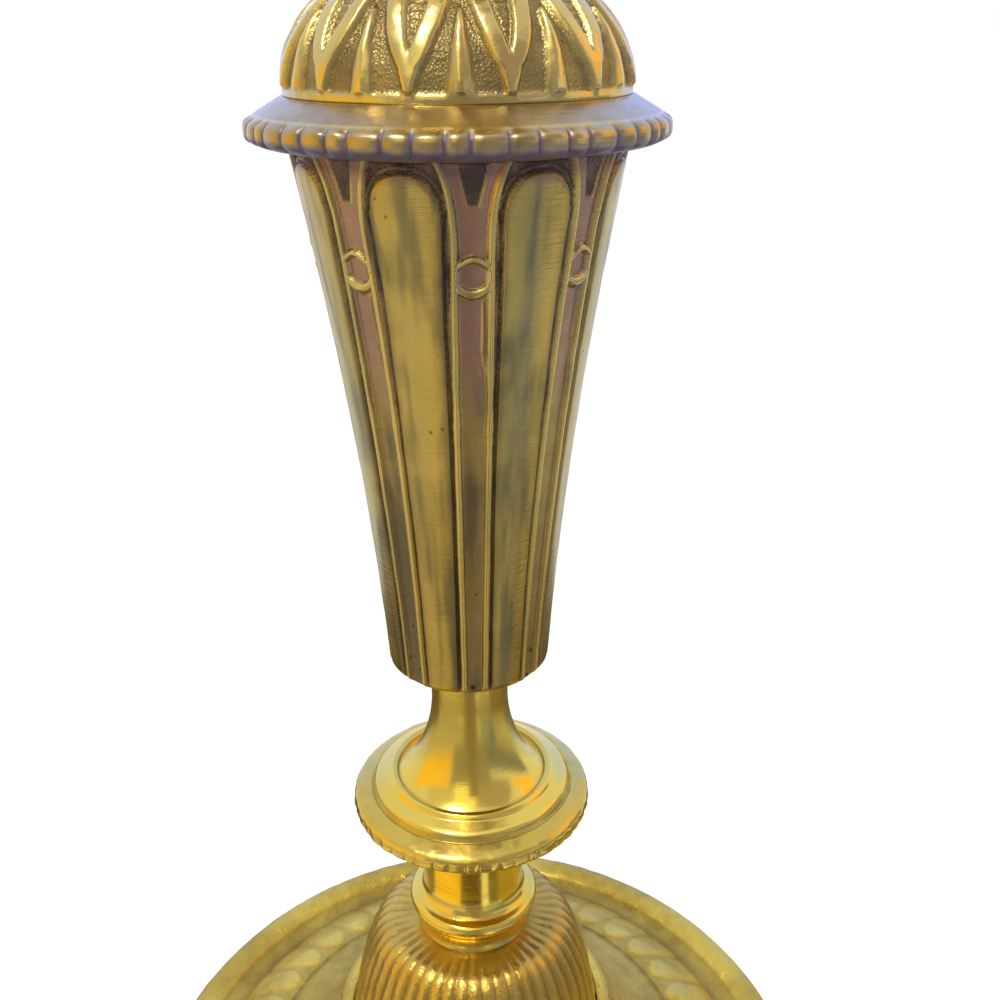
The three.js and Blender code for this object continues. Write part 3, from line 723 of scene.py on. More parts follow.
def spool_outline():
    outline = Outline(ROD_HOLE_RADIUS, SPOOL_SEAT)
    outline.line(10.9, SPOOL_SEAT)
    outline.curve((9.6, 55), (11.6, 56.6), steps=14)
    outline.curve((DRUM_BASE_RADIUS, 57.2), (DRUM_BASE_RADIUS, 58), steps=4)
    outline.curve((DRUM_BASE_RADIUS, 59.2), (11.3, 59.5), steps=5)
    outline.curve((9.5, 59.8), (DRUM_RADIUS, 62.4), steps=8)
    outline.line(DRUM_RADIUS, 70, step=1.5)
    outline.line(DRUM_RADIUS + 0.6, KNOP_SEAT, step=1.5)
    outline.line(ROD_HOLE_RADIUS, KNOP_SEAT)
    return outline.line(ROD_HOLE_RADIUS, SPOOL_SEAT)


def neck_outline():
    outline = Outline(ROD_HOLE_RADIUS, NECK_SEAT)
    outline.line(NECK_SEAT_RADIUS, NECK_SEAT)
    outline.line(NECK_SEAT_RADIUS, 87.5)
    outline.curve((10.4, 89.5), (7.1, 95), (6.75, 103), steps=34)
    outline.curve((6.7, 107), (7.4, STEM_BOTTOM), steps=14)
    outline.line(ROD_HOLE_RADIUS, STEM_BOTTOM)
    return outline.line(ROD_HOLE_RADIUS, NECK_SEAT)


def neck_ornament(relief):
    """A dark seam at the foot, and a painted darker reflection towards the top."""
    seams(87.4)(relief)
    # Painted darker reflection towards the top of the neck
    relief.mark("patina_and_shade", 0.26 * smooth(relief.z, 90.5, 97))


def upper_collar_outline():
    outline = Outline(ROD_HOLE_RADIUS, COLLAR_SEAT)
    outline.line(8.9, COLLAR_SEAT)
    outline.curve((9.9, 221.4), (8.8, 222.3), steps=8)
    outline.curve((5.6, 224.5), (6.6, 230.4), steps=18)
    outline.curve((11.2, 231.9), (7, 233.4), steps=14)
    outline.line(7, NOZZLE_SEAT)
    outline.line(ROD_HOLE_RADIUS, NOZZLE_SEAT)
    return outline.line(ROD_HOLE_RADIUS, COLLAR_SEAT)


def seams(*heights):
    """An ornament that only darkens a turned piece where it meets its neighbours."""

    def shade(relief):
        for height in heights:
            relief.mark("patina_and_shade", 0.4 * (1 - smooth(np.abs(relief.z - height), 0.1, 0.6)))

    return shade


# Knop

ABOVE_ALL = 1000.0
KNOP_BAND = 19.9
KNOP_LINE = 17.95


def knop_outline():
    shoulder = KNOP_RADIUS - 1.2
    outline = Outline(ROD_HOLE_RADIUS, KNOP_SEAT)
    outline.line(10.5, KNOP_SEAT)
    outline.line(shoulder, 80.9, "plain", 3.0)
    outline.curve((KNOP_RADIUS, 81.1), (KNOP_RADIUS, 81.9), zone="edge", steps=4)
    outline.line(KNOP_RADIUS, 82.3, "edge", 0.2)
    outline.curve((KNOP_RADIUS, 83.7), (shoulder, 84.2), zone="edge", steps=8)
    outline.curve((19.4, 84.7), (18.5, 85), zone="edge", steps=5)
    outline.lines((18.1, 84.8), (17.7, 85.4), zone="line")
    outline.curve((17.6, 85.95), (17.2, 86.2), steps=4)
    outline.line(15.2, 87.15, step=0.5)
    outline.curve((14.7, 88), (14.3, 88), steps=3)
    outline.lines((13.6, 87.85), (13.35, 87.5), zone="line")
    outline.lines((13.35, NECK_SEAT), (ROD_HOLE_RADIUS, NECK_SEAT), zone="line")
    return outline.line(ROD_HOLE_RADIUS, KNOP_SEAT)


def scallops(start, full, share=1.0, fullness=0.35, shade=0.7, top=ABOVE_ALL, under=0.0, count=SCALLOPS):
    """Uneven scallops on an edge, with the shading of the zones beside it.

    They begin at the first radius, are fully cut at the second, and end at the top height. Share is that
    of the depth in the settings, shade the film in the valleys, and under the painted shade below the
    edge.
    """

    def cut(relief):
        sizes = bpy.context.scene.candlestick_ornament
        edge = relief.on("edge")
        phase = SCALLOP_SECTORS * relief.azimuth
        drift = 0.09 * np.sin(phase + 0.7) + 0.06 * np.sin(2 * phase)
        uneven = 1 + 0.22 * np.sin(phase + 2) + 0.16 * np.sin(3 * phase + 1)
        pitch = TURN / count
        tops = lobes(relief.azimuth + drift * pitch, pitch, fullness)
        depth = edge * smooth(relief.r, start, full) * (1 - smooth(relief.z, top - 0.6, top)) * uneven
        relief.height += depth * (tops - 1) * share * sizes.scallop_depth / MM
        rise = relief.z - relief.z[edge > 0].min()
        relief.mark("patina_and_shade", depth * (1 - smooth(tops, 0.4, 0.85)) * shade)
        # Painted shade below the edge
        relief.mark("patina_and_shade", edge * (1 - smooth(rise, 0.3, 1.5)) * under)
        relief.mark("patina_and_shade", relief.on("line") * 0.2)
        # Painted shade on the flange's underside
        relief.mark("patina_and_shade", relief.on("underside") * 0.95)
        # Rubbed brass with a painted highlight on the scallops' tops
        relief.mark("rubbed_and_highlight", depth * smooth(tops, 0.85, 1) * 0.3)
        # Painted highlight along the flange's lip
        relief.mark("rubbed_and_highlight", relief.on("lip") * 0.9)
        relief.mark("hand", edge)

    return cut


def knop_ornament(relief):
    """Small notches low on the edge with painted shade below them, a painted darker outer band and a soft
    ring line.
    """
    # The last setting lays painted shade below the knop's edge
    scallops(20.9, KNOP_RADIUS, share=0.7, fullness=0.3, shade=0.5, top=83.3, under=0.35)(relief)
    upper = smooth(relief.z, 83, 84)
    # Painted shade: a darker outer band on the knop's top
    relief.mark("patina_and_shade", 0.3 * plateau(relief.r - KNOP_BAND, 1.7, 1.2) * upper)
    relief.mark("patina_and_shade", 0.45 * plateau(relief.r - KNOP_LINE, 0.35, 0.5) * upper)


# Stem

SPLAY_START = 184
ARCH_SPRING = 190.5
ARCH_RISE = 4.7
ARCH_SQUARENESS = 2.2
BEAD_INNER_HALF = 0.6
BEAD_OUTER_HALF = 0.78
LINK_HALF = 2.1
LINK_TOP = 184.3
LINK_BOTTOM = 179.5
DART_TIP = 190.9
DART_TIP_HALF = 0.75
DART_TOP_HALF = 2.3
STEM_BEND_RADIUS = 16.3
STEM_WALL = 3
STEM_FLOOR = 4
STEM_ROUNDING = 1.9
STEM_HOLLOW_BEND = 154
SPUR_INSET = 1.35
CONTOUR_INSET = 0.66

# Stretches of the stem's outside, each with its lower end, its upper end and its step
STEM_ROWS = (
    (113.2, 156, 1.6),
    (156, 172, 0.7),
    (172, 178.6, 0.44),
    (178.6, 185.4, 0.2),
    (185.4, 188, 0.4),
    (188, STEM_TOP, 0.22),
)


def stem_radius(z):
    """The taper, a Bezier curve of three radii."""
    t = (z - STEM_BOTTOM) / (STEM_TOP - STEM_BOTTOM)
    return (1 - t) ** 2 * STEM_BOTTOM_RADIUS + 2 * (1 - t) * t * STEM_BEND_RADIUS + t**2 * STEM_TOP_RADIUS


def stem_outline():
    heights = np.concatenate([np.arange(*row) for row in STEM_ROWS])
    floor = STEM_BOTTOM + STEM_FLOOR
    rounding = ((stem_radius(STEM_BOTTOM), STEM_BOTTOM), (stem_radius(heights[0]), heights[0]))
    outline = Outline(ROD_HOLE_RADIUS, STEM_BOTTOM)
    outline.line(stem_radius(STEM_BOTTOM) - STEM_ROUNDING, STEM_BOTTOM)
    outline.curve(*rounding, zone="outside", steps=7)
    outline.through([(stem_radius(z), z) for z in np.append(heights[1:], STEM_TOP)], "outside")
    outline.line(stem_radius(STEM_TOP) - STEM_WALL, STEM_TOP)
    outline.line(stem_radius(STEM_HOLLOW_BEND) - STEM_WALL, STEM_HOLLOW_BEND)
    outline.line(stem_radius(floor) - STEM_WALL, floor)
    outline.line(ROD_HOLE_RADIUS, floor)
    return outline.line(ROD_HOLE_RADIUS, STEM_BOTTOM)


def bead_offset(z):
    """How far a bead's crest stands from the middle of its strip, at each height."""
    splay = np.maximum(z - SPLAY_START, 0) / (STEM_TOP - SPLAY_START)
    return 1.72 + 0.75 * smooth(z, 105, 178) + 2.4 * splay**3


def panel_inset(offset, z):
    """Distance from the edge of the arched panel: above 0 inside it, below 0 on the ground."""
    pitch = TURN / PANELS
    edge = bead_offset(np.minimum(z, SPLAY_START)) + 1.1 + 0.55 * smooth(z, 150, SPLAY_START)
    half_panel = stem_radius(ARCH_SPRING) * pitch / 2 - 4.35
    across = np.abs(stem_radius(z) * pitch / 2 - offset) / half_panel
    up = np.maximum(z - ARCH_SPRING, 0) / ARCH_RISE
    arch = (across**ARCH_SQUARENESS + up**ARCH_SQUARENESS) ** (1 / ARCH_SQUARENESS)
    return np.where(z < ARCH_SPRING, offset - edge, (1 - arch) * half_panel)


def link_bars(offset, z):
    """The O-shaped link, a thin peaked bar over thin cheeks and a bold bar, and the painted shade round
    it.
    """
    ends = 1 - smooth(offset, 2.15, 2.5)
    from_top = z - (LINK_TOP - 1.1 * (offset / LINK_HALF) ** 1.7)
    from_foot = z - (LINK_BOTTOM + 0.9 * (offset / LINK_HALF) ** 2)
    cheek = ridge(offset - 2.05, 0.3) * plateau(z - 181.8, 1.7, 0.6) * 0.7
    bars = np.maximum(ridge(from_top, 0.55), ridge(from_foot, 0.8)) * ends
    # Painted shade round the top bar and the bold bar
    shade_round_top = 1 - smooth(np.abs(from_top), 0.4, 0.9)
    shade_round_foot = 1 - smooth(np.abs(from_foot), 0.6, 1.2)
    return np.maximum(bars, cheek), np.maximum(shade_round_top, shade_round_foot) * ends


def stem_ornament(relief):
    """Smooth arched panels between strips: beads, a stippled ground, a link and a hanging dart."""
    sizes = bpy.context.scene.candlestick_ornament
    depth = sizes.strip_depth / MM
    outside = relief.on("outside")
    z = relief.z
    side = relief.arc
    offset = np.abs(side)
    inset = panel_inset(offset, z)
    panel = smooth(inset, -0.14, 0.14)

    # Two beads, hammered a little uneven, with the channel between them
    bead_at = bead_offset(z)
    hammered = 0.05 * np.sin(z * 6.1 + side) + 0.04 * np.sin(z * 9.7)
    hammered = hammered * (0.4 + 1.4 * smooth(z, 154, 158) * (1 - smooth(z, 166, 170)))
    bead_half = np.where(offset > bead_at, BEAD_OUTER_HALF, BEAD_INNER_HALF) + hammered
    bead = ridge(offset - bead_at, bead_half)
    channel = smooth(bead_at - offset, 0.35, 0.62)

    # The dart that hangs under the flange, the link, and the fine lines beside the beads
    dart_half = DART_TIP_HALF + (DART_TOP_HALF - DART_TIP_HALF) * (z - DART_TIP) / (STEM_TOP - DART_TIP)
    dart = smooth(dart_half - offset, 0, 0.25) * smooth(z, DART_TIP, DART_TIP + 0.3)
    dart_edge = ridge(side - dart_half - 0.2, 0.22) * (z > DART_TIP)
    link, shade_round_link = link_bars(offset, z)
    spur_at = SPUR_INSET + (bead_at - SPUR_INSET) * (1 - smooth(z, 164, 172))
    spur = ridge(side - spur_at, 0.2) * smooth(z, 163, 165) * (1 - smooth(z, 178.3, 179))
    contour = ridge(inset + CONTOUR_INSET, 0.19) * smooth(z, 150, 162)

    # All of it stands up from the sunk ground, and runs out at the stem's rounded lower end
    height = -depth + 0.1 * channel - 0.3 * dart
    height = np.maximum(height, -depth + 0.98 * depth * bead)
    height = np.maximum(height, -depth + 0.55 * depth * np.maximum(spur, contour))
    height = np.maximum(height, -depth + 0.35 * depth * dart_edge)
    height = np.maximum(height, -depth + 1.1 * depth * link)
    height = np.maximum(height, -depth + (depth + 0.05 * smooth(inset, 0, 2.5)) * panel)
    lower_end = smooth(z, STEM_BOTTOM, STEM_BOTTOM + 1.8)
    relief.height += outside * (height * lower_end - 0.4 * depth * (1 - lower_end))

    raised = np.maximum.reduce((bead > 0.4, link > 0.3, spur > 0.4, contour > 0.5, dart_edge > 0.4))
    ground = outside * (1 - panel)
    recess = ground * (1 - raised)
    # Painted shade: a dark band at the top of the stem, under the flange
    shade_under_flange = outside * smooth(z, 193.2, 195.6)
    floor_film = 0.28 + 0.2 * (1 - smooth(z, 150, 172))
    relief.mark("patina_and_shade", recess * (1 - channel) * (0.75 + 0.25 * smooth(z, 160, 180)))
    relief.mark("patina_and_shade", recess * channel * np.maximum(floor_film, dart))
    relief.mark("patina_and_shade", ground * (1 - smooth(bead, 0.3, 0.8)) * (1 - channel) * 0.8)
    relief.mark("patina_and_shade", outside * panel * (1 - smooth(inset, 0, 1.1)) * 0.5)
    # Painted shade under the flange, in patina colour
    relief.mark("patina_and_shade", shade_under_flange * 0.6)
    # Painted shade round the link
    relief.mark("patina_and_shade", recess * shade_round_link * 0.85)
    relief.mark("pitted", recess * channel * (1 - smooth(z, 115, 119.5)))
    relief.mark("stipple", recess * np.maximum((1 - channel) * smooth(z, 150, 175), dart))
    # Painted shade under the flange, in pink
    relief.mark("painted_pink", shade_under_flange * 0.9)
    # Painted pink reflection on the channel floors
    relief.mark("painted_pink", recess * channel * (1 - dart) * smooth(z, 156, 174))
    # Rubbed brass with a painted highlight on the beads' crests
    relief.mark("rubbed_and_highlight", ground * smooth(bead, 0.75, 1) * 0.8)
    # Painted highlight on the link's bars
    relief.mark("pale", ground * smooth(link, 0.4, 0.9) * 0.7)
    relief.mark("hand", outside)


def stem_columns():
    """Azimuths of one sector's columns: close over the strip, wider over the smooth panel."""
    half = math.pi / PANELS
    strip_edge = 0.58 * half
    strip = np.linspace(0, strip_edge, 27)
    panel = np.linspace(strip_edge, half, 9)[1:]
    right = np.concatenate((strip, panel))
    return np.concatenate((-right[:0:-1], right))


# Shoulder flange

SPIGOT_BOTTOM = 193
SPIGOT_INNER_RADIUS = 17.9
SPIGOT_RADIUS = 20.6


def flange_outline():
    outline = Outline(SPIGOT_INNER_RADIUS, SPIGOT_BOTTOM)
    outline.lines((SPIGOT_RADIUS, SPIGOT_BOTTOM), (SPIGOT_RADIUS, STEM_TOP))
    outline.line(25.2, STEM_TOP, "plain", 2.0)
    outline.curve((28, STEM_TOP), (29, 197.6), zone="underside", steps=5)
    outline.curve((30.2, 197.9), (FLANGE_RADIUS, 198.9), zone="edge", steps=6)
    outline.line(FLANGE_RADIUS, 199.5, "edge", 0.3)
    outline.curve((FLANGE_RADIUS, 200.6), (29.2, 200.9), zone="edge", steps=7)
    outline.line(28.8, 201.15, "lip")
    outline.line(25.2, 203.25, "top", 0.5)
    outline.curve((24.7, 203.5), (24.55, DOME_SEAT), zone="top", steps=3)
    outline.line(SPIGOT_INNER_RADIUS, DOME_SEAT)
    return outline.line(SPIGOT_INNER_RADIUS, SPIGOT_BOTTOM)


# Leaf dome

DOME_SPIGOT_BOTTOM = 200
DOME_SPIGOT_INNER_RADIUS = 14.8
DOME_SPIGOT_RADIUS = 17.6


def dome_place(angle):
    """A place on the shell, where the angle is 0 at the spring and a quarter turn at the crown."""
    r = DOME_RADIUS * math.cos(angle)
    return r, DOME_SPRING + DOME_RISE * math.sqrt(1 - (r / DOME_RADIUS) ** 2)


def dome_outline():
    outline = Outline(DOME_SPIGOT_INNER_RADIUS, DOME_SPIGOT_BOTTOM)
    outline.lines((DOME_SPIGOT_RADIUS, DOME_SPIGOT_BOTTOM), (DOME_SPIGOT_RADIUS, DOME_SEAT))
    outline.lines((DOME_RADIUS, DOME_SEAT), (DOME_RADIUS, DOME_SPRING))
    last = math.acos(DOME_CROWN_RADIUS / DOME_RADIUS)
    outline.through([dome_place(angle) for angle in np.linspace(0.02, last, 92)], "shell")
    outline.line(ROD_HOLE_RADIUS, COLLAR_SEAT)
    outline.lines((ROD_HOLE_RADIUS, 217), (9, 216.4), (DOME_SPIGOT_INNER_RADIUS, 212.5))
    return outline.line(DOME_SPIGOT_INNER_RADIUS, DOME_SPIGOT_BOTTOM)


STRAP_TIP = 0.2
STRAP_ARM_HALF = 1.45
STRAP_STALK_HALF = 0.8
LANCET_HALF = 1.95
LANCET_END = 0.64


def dome_ornament(relief):
    """V-shaped straps on stalks, with ribs inside each V and a spined lancet between each pair."""
    sizes = bpy.context.scene.candlestick_ornament
    shell = relief.on("shell")
    z, r = relief.z, relief.r
    climb = np.clip((z - DOME_SPRING) / (COLLAR_SEAT - DOME_SPRING), 0, 1)
    fade = smooth(climb, 0.005, 0.05) * (1 - smooth(climb, 0.955, 0.995))
    pitch = TURN / STRAPS
    offset = np.abs(relief.arc)
    half = r * pitch / 2
    above_tip = STRAP_TIP + 0.06
    centre = half * 0.74 * np.clip((climb - STRAP_TIP) / (1 - STRAP_TIP), 0, 1) ** 0.7
    arm = smooth(STRAP_ARM_HALF - np.abs(offset - centre), -0.1, 0.5)
    arm = arm * smooth(climb, STRAP_TIP - 0.02, STRAP_TIP + 0.02)
    stalk_half = STRAP_STALK_HALF + 0.9 * smooth(climb, 0, above_tip)
    stalk = smooth(stalk_half - offset, -0.1, 0.45) * (1 - smooth(climb, above_tip, STRAP_TIP + 0.1))
    strap = np.maximum(arm, stalk)
    roundness = ridge(np.abs(offset - centre), STRAP_ARM_HALF * 1.25)
    inside = smooth(centre - STRAP_ARM_HALF - offset, 0, 0.3) * (climb > STRAP_TIP)
    ribs = 0.5 + 0.5 * np.sin((z - DOME_SPRING) * 6.8)
    lancet_half = LANCET_HALF * np.clip(1 - climb / LANCET_END, 0, 1) ** 0.6
    from_lancet = half - offset
    lancet = ridge(from_lancet, np.maximum(lancet_half, 0.02)) * (climb < LANCET_END) * (1 - strap)
    spine = ridge(from_lancet - 0.12, 0.45) * smooth(lancet_half, 0.2, 0.8) * lancet
    height = -1 + strap * (0.5 + 0.5 * roundness)
    height = np.maximum(height, -1 + inside * (0.2 + 0.2 * ribs))
    height = np.maximum(height, -1 + 0.8 * lancet + 0.12 * spine)
    relief.height += shell * fade * (height + 0.45) * sizes.strap_height / MM

    ground = (1 - strap) * (1 - smooth(lancet, 0.1, 0.4))
    foot_of_relief = (1 - ground) * (1 - smooth(np.maximum(strap, lancet), 0.5, 1))
    relief.mark("patina_and_shade", shell * fade * ground * (0.7 - 0.24 * inside * ribs))
    relief.mark("patina_and_shade", shell * fade * foot_of_relief * 0.5)
    relief.mark("stipple", shell * fade * ground * 0.6)
    # Rubbed brass with painted highlights on the straps and the lancets' spines
    relief.mark("rubbed_and_highlight", shell * fade * np.maximum(strap * roundness * 0.3, smooth(spine, 0.3, 0.9) * 0.7))
    relief.mark("hand", shell)


# Nozzle and drip pan

BOWL_TOP = 252
BOWL_MIDDLE = 242.6
BOWL_LOBES_HALF = 5.6
ROD_HOLE_TOP = 244
PAN_FLOOR = 280.9


def nozzle_outline():
    outline = Outline(0, ROD_HOLE_TOP)
    outline.lines((ROD_HOLE_RADIUS, ROD_HOLE_TOP), (ROD_HOLE_RADIUS, NOZZLE_SEAT), (8.6, NOZZLE_SEAT))
    outline.curve((16.6, 238.5), (16.4, 249.5), zone="bowl", steps=30)
    outline.line(14.6, BOWL_TOP)
    outline.curve((13.6, 264), (15.8, 274.4), steps=26)
    outline.curve((17.4, 274.9), (17.4, 276.4), steps=6)
    outline.curve((17.4, 278.8), (16.6, NOZZLE_TOP), steps=6)
    outline.line(SOCKET_MOUTH_RADIUS, NOZZLE_TOP)
    outline.line(SOCKET_RADIUS, SOCKET_FLOOR)
    return outline.line(0, SOCKET_FLOOR)


def nozzle_ornament(relief):
    """Gadroons round the bowl."""
    sizes = bpy.context.scene.candlestick_ornament
    tops = lobes(relief.azimuth, TURN / NOZZLE_LOBES, 0.7)
    bowl = relief.on("bowl") * plateau(relief.z - BOWL_MIDDLE, BOWL_LOBES_HALF, 3.4)
    relief.height += bowl * (tops - 1) * sizes.lobe_depth / MM
    relief.mark("patina_and_shade", bowl * (1 - smooth(tops, 0.15, 0.6)) * 0.75)
    relief.mark("patina_and_shade", 0.6 * (1 - smooth(np.abs(relief.z - BOWL_TOP), 0.1, 0.8)))
    relief.mark("hand", relief.on("bowl"))


def pan_outline():
    outline = Outline(CANDLE_RADIUS, SLEEVE_BOTTOM)
    outline.lines((SLEEVE_RADIUS, SLEEVE_BOTTOM), (SLEEVE_RADIUS, NOZZLE_TOP), (16.4, NOZZLE_TOP))
    outline.curve((23, 279.8), (26.2, 282.1), zone="dish", steps=14)
    outline.curve((PAN_RADIUS, 282.8), (PAN_RADIUS, 283.5), zone="edge", steps=4)
    outline.line(PAN_RADIUS, 284.2, "edge", 0.35)
    outline.curve((27.5, 284.9), (26.7, 285), zone="edge", steps=4)
    outline.curve((22, 281.2), (15, PAN_FLOOR), zone="dish", steps=16)
    outline.lines((CANDLE_RADIUS + 0.5, PAN_FLOOR), (CANDLE_RADIUS, PAN_FLOOR - 0.5))
    return outline.line(CANDLE_RADIUS, SLEEVE_BOTTOM)


# Rod, washer and nut

THREAD_PITCH = 1.0
THREAD_DEPTH = 0.5
THREAD_LENGTH = 6
ROD_CHAMFER = 0.5
NUT_CHAMFER = 0.8


def rod_outline():
    outline = Outline(0, ROD_BOTTOM)
    outline.line(ROD_RADIUS - ROD_CHAMFER, ROD_BOTTOM)
    outline.line(ROD_RADIUS, ROD_BOTTOM + ROD_CHAMFER, "thread")
    outline.line(ROD_RADIUS, FOOT_WEB_UNDERSIDE + THREAD_LENGTH, "thread", THREAD_PITCH / 6)
    outline.line(ROD_RADIUS, ROD_TOP - ROD_CHAMFER)
    outline.line(ROD_RADIUS - ROD_CHAMFER, ROD_TOP)
    return outline.line(0, ROD_TOP)


def rod_ornament(relief):
    """A helical thread at the lower end, which runs out inside the foot's web."""
    turns = relief.z / THREAD_PITCH - relief.azimuth / TURN
    flank = 2 * np.abs(turns - np.round(turns))
    shown = relief.on("thread") * smooth(relief.z, ROD_BOTTOM + 0.3, ROD_BOTTOM + 1)
    shown = shown * (1 - smooth(relief.z, FOOT_WEB_UNDERSIDE + 4.6, FOOT_WEB_UNDERSIDE + 5.6))
    relief.height -= shown * THREAD_DEPTH * flank
    relief.mark("patina_and_shade", shown * flank)


def washer_outline():
    outline = Outline(ROD_HOLE_RADIUS, NUT_TOP)
    outline.lines((WASHER_RADIUS, NUT_TOP), (WASHER_RADIUS, FOOT_WEB_UNDERSIDE))
    outline.line(ROD_HOLE_RADIUS, FOOT_WEB_UNDERSIDE)
    return outline.line(ROD_HOLE_RADIUS, NUT_TOP)


def nut_outline():
    bore = ROD_RADIUS + 0.1
    outline = Outline(bore, NUT_BOTTOM)
    outline.line(NUT_RADIUS - NUT_CHAMFER, NUT_BOTTOM, "flats")
    outline.line(NUT_RADIUS, NUT_BOTTOM + 0.5, "flats", 0.12)
    outline.line(NUT_RADIUS, NUT_TOP - 0.5, "flats", 0.8)
    outline.line(NUT_RADIUS - NUT_CHAMFER, NUT_TOP, "flats", 0.12)
    outline.line(bore, NUT_TOP)
    return outline.line(bore, NUT_BOTTOM)


def nut_ornament(relief):
    """Six flats, left round where the chamfer has turned the corners off."""
    apothem = NUT_RADIUS * math.cos(math.pi / 6)
    flat = apothem / np.cos(relief.azimuth)
    relief.height += relief.on("flats") * np.minimum(0, flat - relief.r)


# Settings that a user would change


def length(name, description, default):
    return bpy.props.FloatProperty(
        name=name,
        description=description,
        default=default,
        subtype="DISTANCE",
        unit="LENGTH",
        min=0.0,
        precision=5,
    )


def tint(name, description, srgb):
    return bpy.props.FloatVectorProperty(
        name=name,
        description=description,
        default=linear(srgb),
        subtype="COLOR",
        size=3,
        min=0.0,
        max=1.0,
    )


def angle(name, description, degrees):
    return bpy.props.FloatProperty(
        name=name,
        description=description,
        default=math.radians(degrees),
        subtype="ANGLE",
    )


class OrnamentSettings(bpy.types.PropertyGroup):
    """Depths of the cast and chased ornament."""

    rim_bump: length("Rim bumps", "Height of the laurel bumps on the foot's rim", 0.0002)
    leaf_height: length("Foot leaves", "Height of the leaves round the foot", 0.0005)
    reed_depth: length("Reeds", "Depth of the valleys between the mound's reeds", 0.0004)
    scallop_depth: length("Scallops", "Depth of the cuts between scallops", 0.00055)
    strip_depth: length("Stem strips", "Depth of the ground beside the stem's panels", 0.0008)
    strap_height: length("Dome straps", "Height of the straps on the leaf dome", 0.0010)
    lobe_depth: length("Nozzle lobes", "Depth of the valleys between the nozzle's lobes", 0.0009)
    waver: length("Waver", "How far hand work strays from a true repeat", 0.0003)


class FinishSettings(bpy.types.PropertyGroup):
    # Several of these colours are painted light: pink reflection, highlights and shade
    """Colours of the metals and of what has settled on them."""

    stem: tint("Stem brass", "Brushed brass of the stem", (194, 167, 92))
    stem_tone: tint("Stem second tone", "Tone that the stem drifts to", (178, 153, 82))
    # Grey-green streaks: tarnish and painted reflections of the room
    tarnish_and_reflection: tint("Tarnish", "Grey-green film in upright streaks", (118, 110, 76))
    shoulder: tint("Shoulder brass", "Greyer brass of the flange", (184, 162, 118))
    shoulder_tone: tint("Shoulder second tone", "Tone that the flange drifts to", (166, 146, 108))
    dome: tint("Dome brass", "Brass of the leaf dome", (204, 184, 118))
    dome_tone: tint("Dome second tone", "Tone that the dome drifts to", (188, 166, 108))
    foot: tint("Foot brass", "Brass of the foot", (222, 195, 88))
    foot_tone: tint("Foot second tone", "Tone that the foot drifts to", (196, 168, 70))
    mound: tint("Mound brass", "Warmer brass of the mound", (200, 168, 80))
    mound_tone: tint("Mound second tone", "Tone that the mound drifts to", (176, 144, 62))
    polished: tint("Polished brass", "Brass of the turned pieces", (224, 198, 98))
    polished_tone: tint("Polished second tone", "Tone that the turned pieces drift to", (216, 188, 84))
    # Painted pink reflection on the channel floors, and painted shade under the flange
    painted_pink: tint("Strip floor", "Copper-tinged floor of the channels", (174, 134, 124))
    # Rubbed brass and painted highlights on beads, reeds, leaves, straps, scallops and the lip
    highlight: tint("Bare brass", "Brass rubbed clean on the high spots", (228, 200, 122))
    # Pale green-white on the foot's flare, and a painted highlight on the stem's link bars
    pale: tint("Pale bloom", "Pale green bloom on the foot's flare", (186, 184, 148))
    # Also the painted shade under the flange and round the links
    patina_and_shade: tint("Patina", "Brown-violet film in the stem's recesses", (62, 50, 54))
    # Painted shade under the flange's edge and on its underside, also the film in the scallops' valleys
    violet: tint("Violet patina", "Grey-violet film under the flange", (94, 85, 116))
    # Also the painted shade on the knop and the painted darker reflection on the neck
    umber: tint("Umber patina", "Brown film in the mound's and the dome's recesses", (84, 66, 40))
    # Also the painted shade in the foot's cavetto
    olive: tint("Olive patina", "Olive film in the foot's recesses", (108, 88, 40))
    steel: tint("Steel", "Rod, nut and washer", (130, 130, 132))
    rust: tint("Brown film", "Film on the steel", (92, 72, 56))


class StageSettings(bpy.types.PropertyGroup):
    """Camera and lamps."""

    lens: bpy.props.FloatProperty(
        name="Lens",
        description="Focal length of the camera",
        default=39.24,
        min=10.0,
        unit="CAMERA",
    )
    camera_place: bpy.props.FloatVectorProperty(
        name="Camera place",
        description="Where the camera stands",
        default=(0.0002, -0.1641, 0.2128),
        subtype="XYZ",
        unit="LENGTH",
        size=3,
    )
    camera_pitch: angle("Pitch", "How far the camera looks down", 23.75)
    camera_yaw: angle("Yaw", "How far the camera looks to the right", 1.876)
    camera_roll: angle("Roll", "How far the camera leans to the left", -0.31)
    key: bpy.props.FloatProperty(
        name="Key lamp",
        description="Power of the key lamp",
        default=4.6,
        min=0.0,
        unit="POWER",
    )
    surround: bpy.props.FloatProperty(
        name="Surround",
        description="Strength of the light from all round",
        default=0.75,
        min=0.0,
    )


# Operators


class MakeFoot(bpy.types.Operator):
    """Makes the round foot with its bossed rim, leaves and flare"""

    bl_idname = "candlestick.make_foot"
    bl_label = "Foot"

    def execute(self, context):
        mesh = sector("foot", foot_outline(), TURN / FOOT_LEAVES, 14, foot_ornament)
        turned("visible_foot", "foot", mesh, FOOT_LEAVES, finish_of("Foot brass"), waver=1.4)
        return {"FINISHED"}


class MakeMound(bpy.types.Operator):
    """Makes the reeded mound in the foot's lip"""

    bl_idname = "candlestick.make_mound"
    bl_label = "Reeded mound"

    def execute(self, context):
        mesh = sector("mound", mound_outline(), TURN / REEDS, 10, mound_ornament)
        turned("visible_mound", "reeded_mound", mesh, REEDS, finish_of("Mound brass"), waver=2.0)
        return {"FINISHED"}


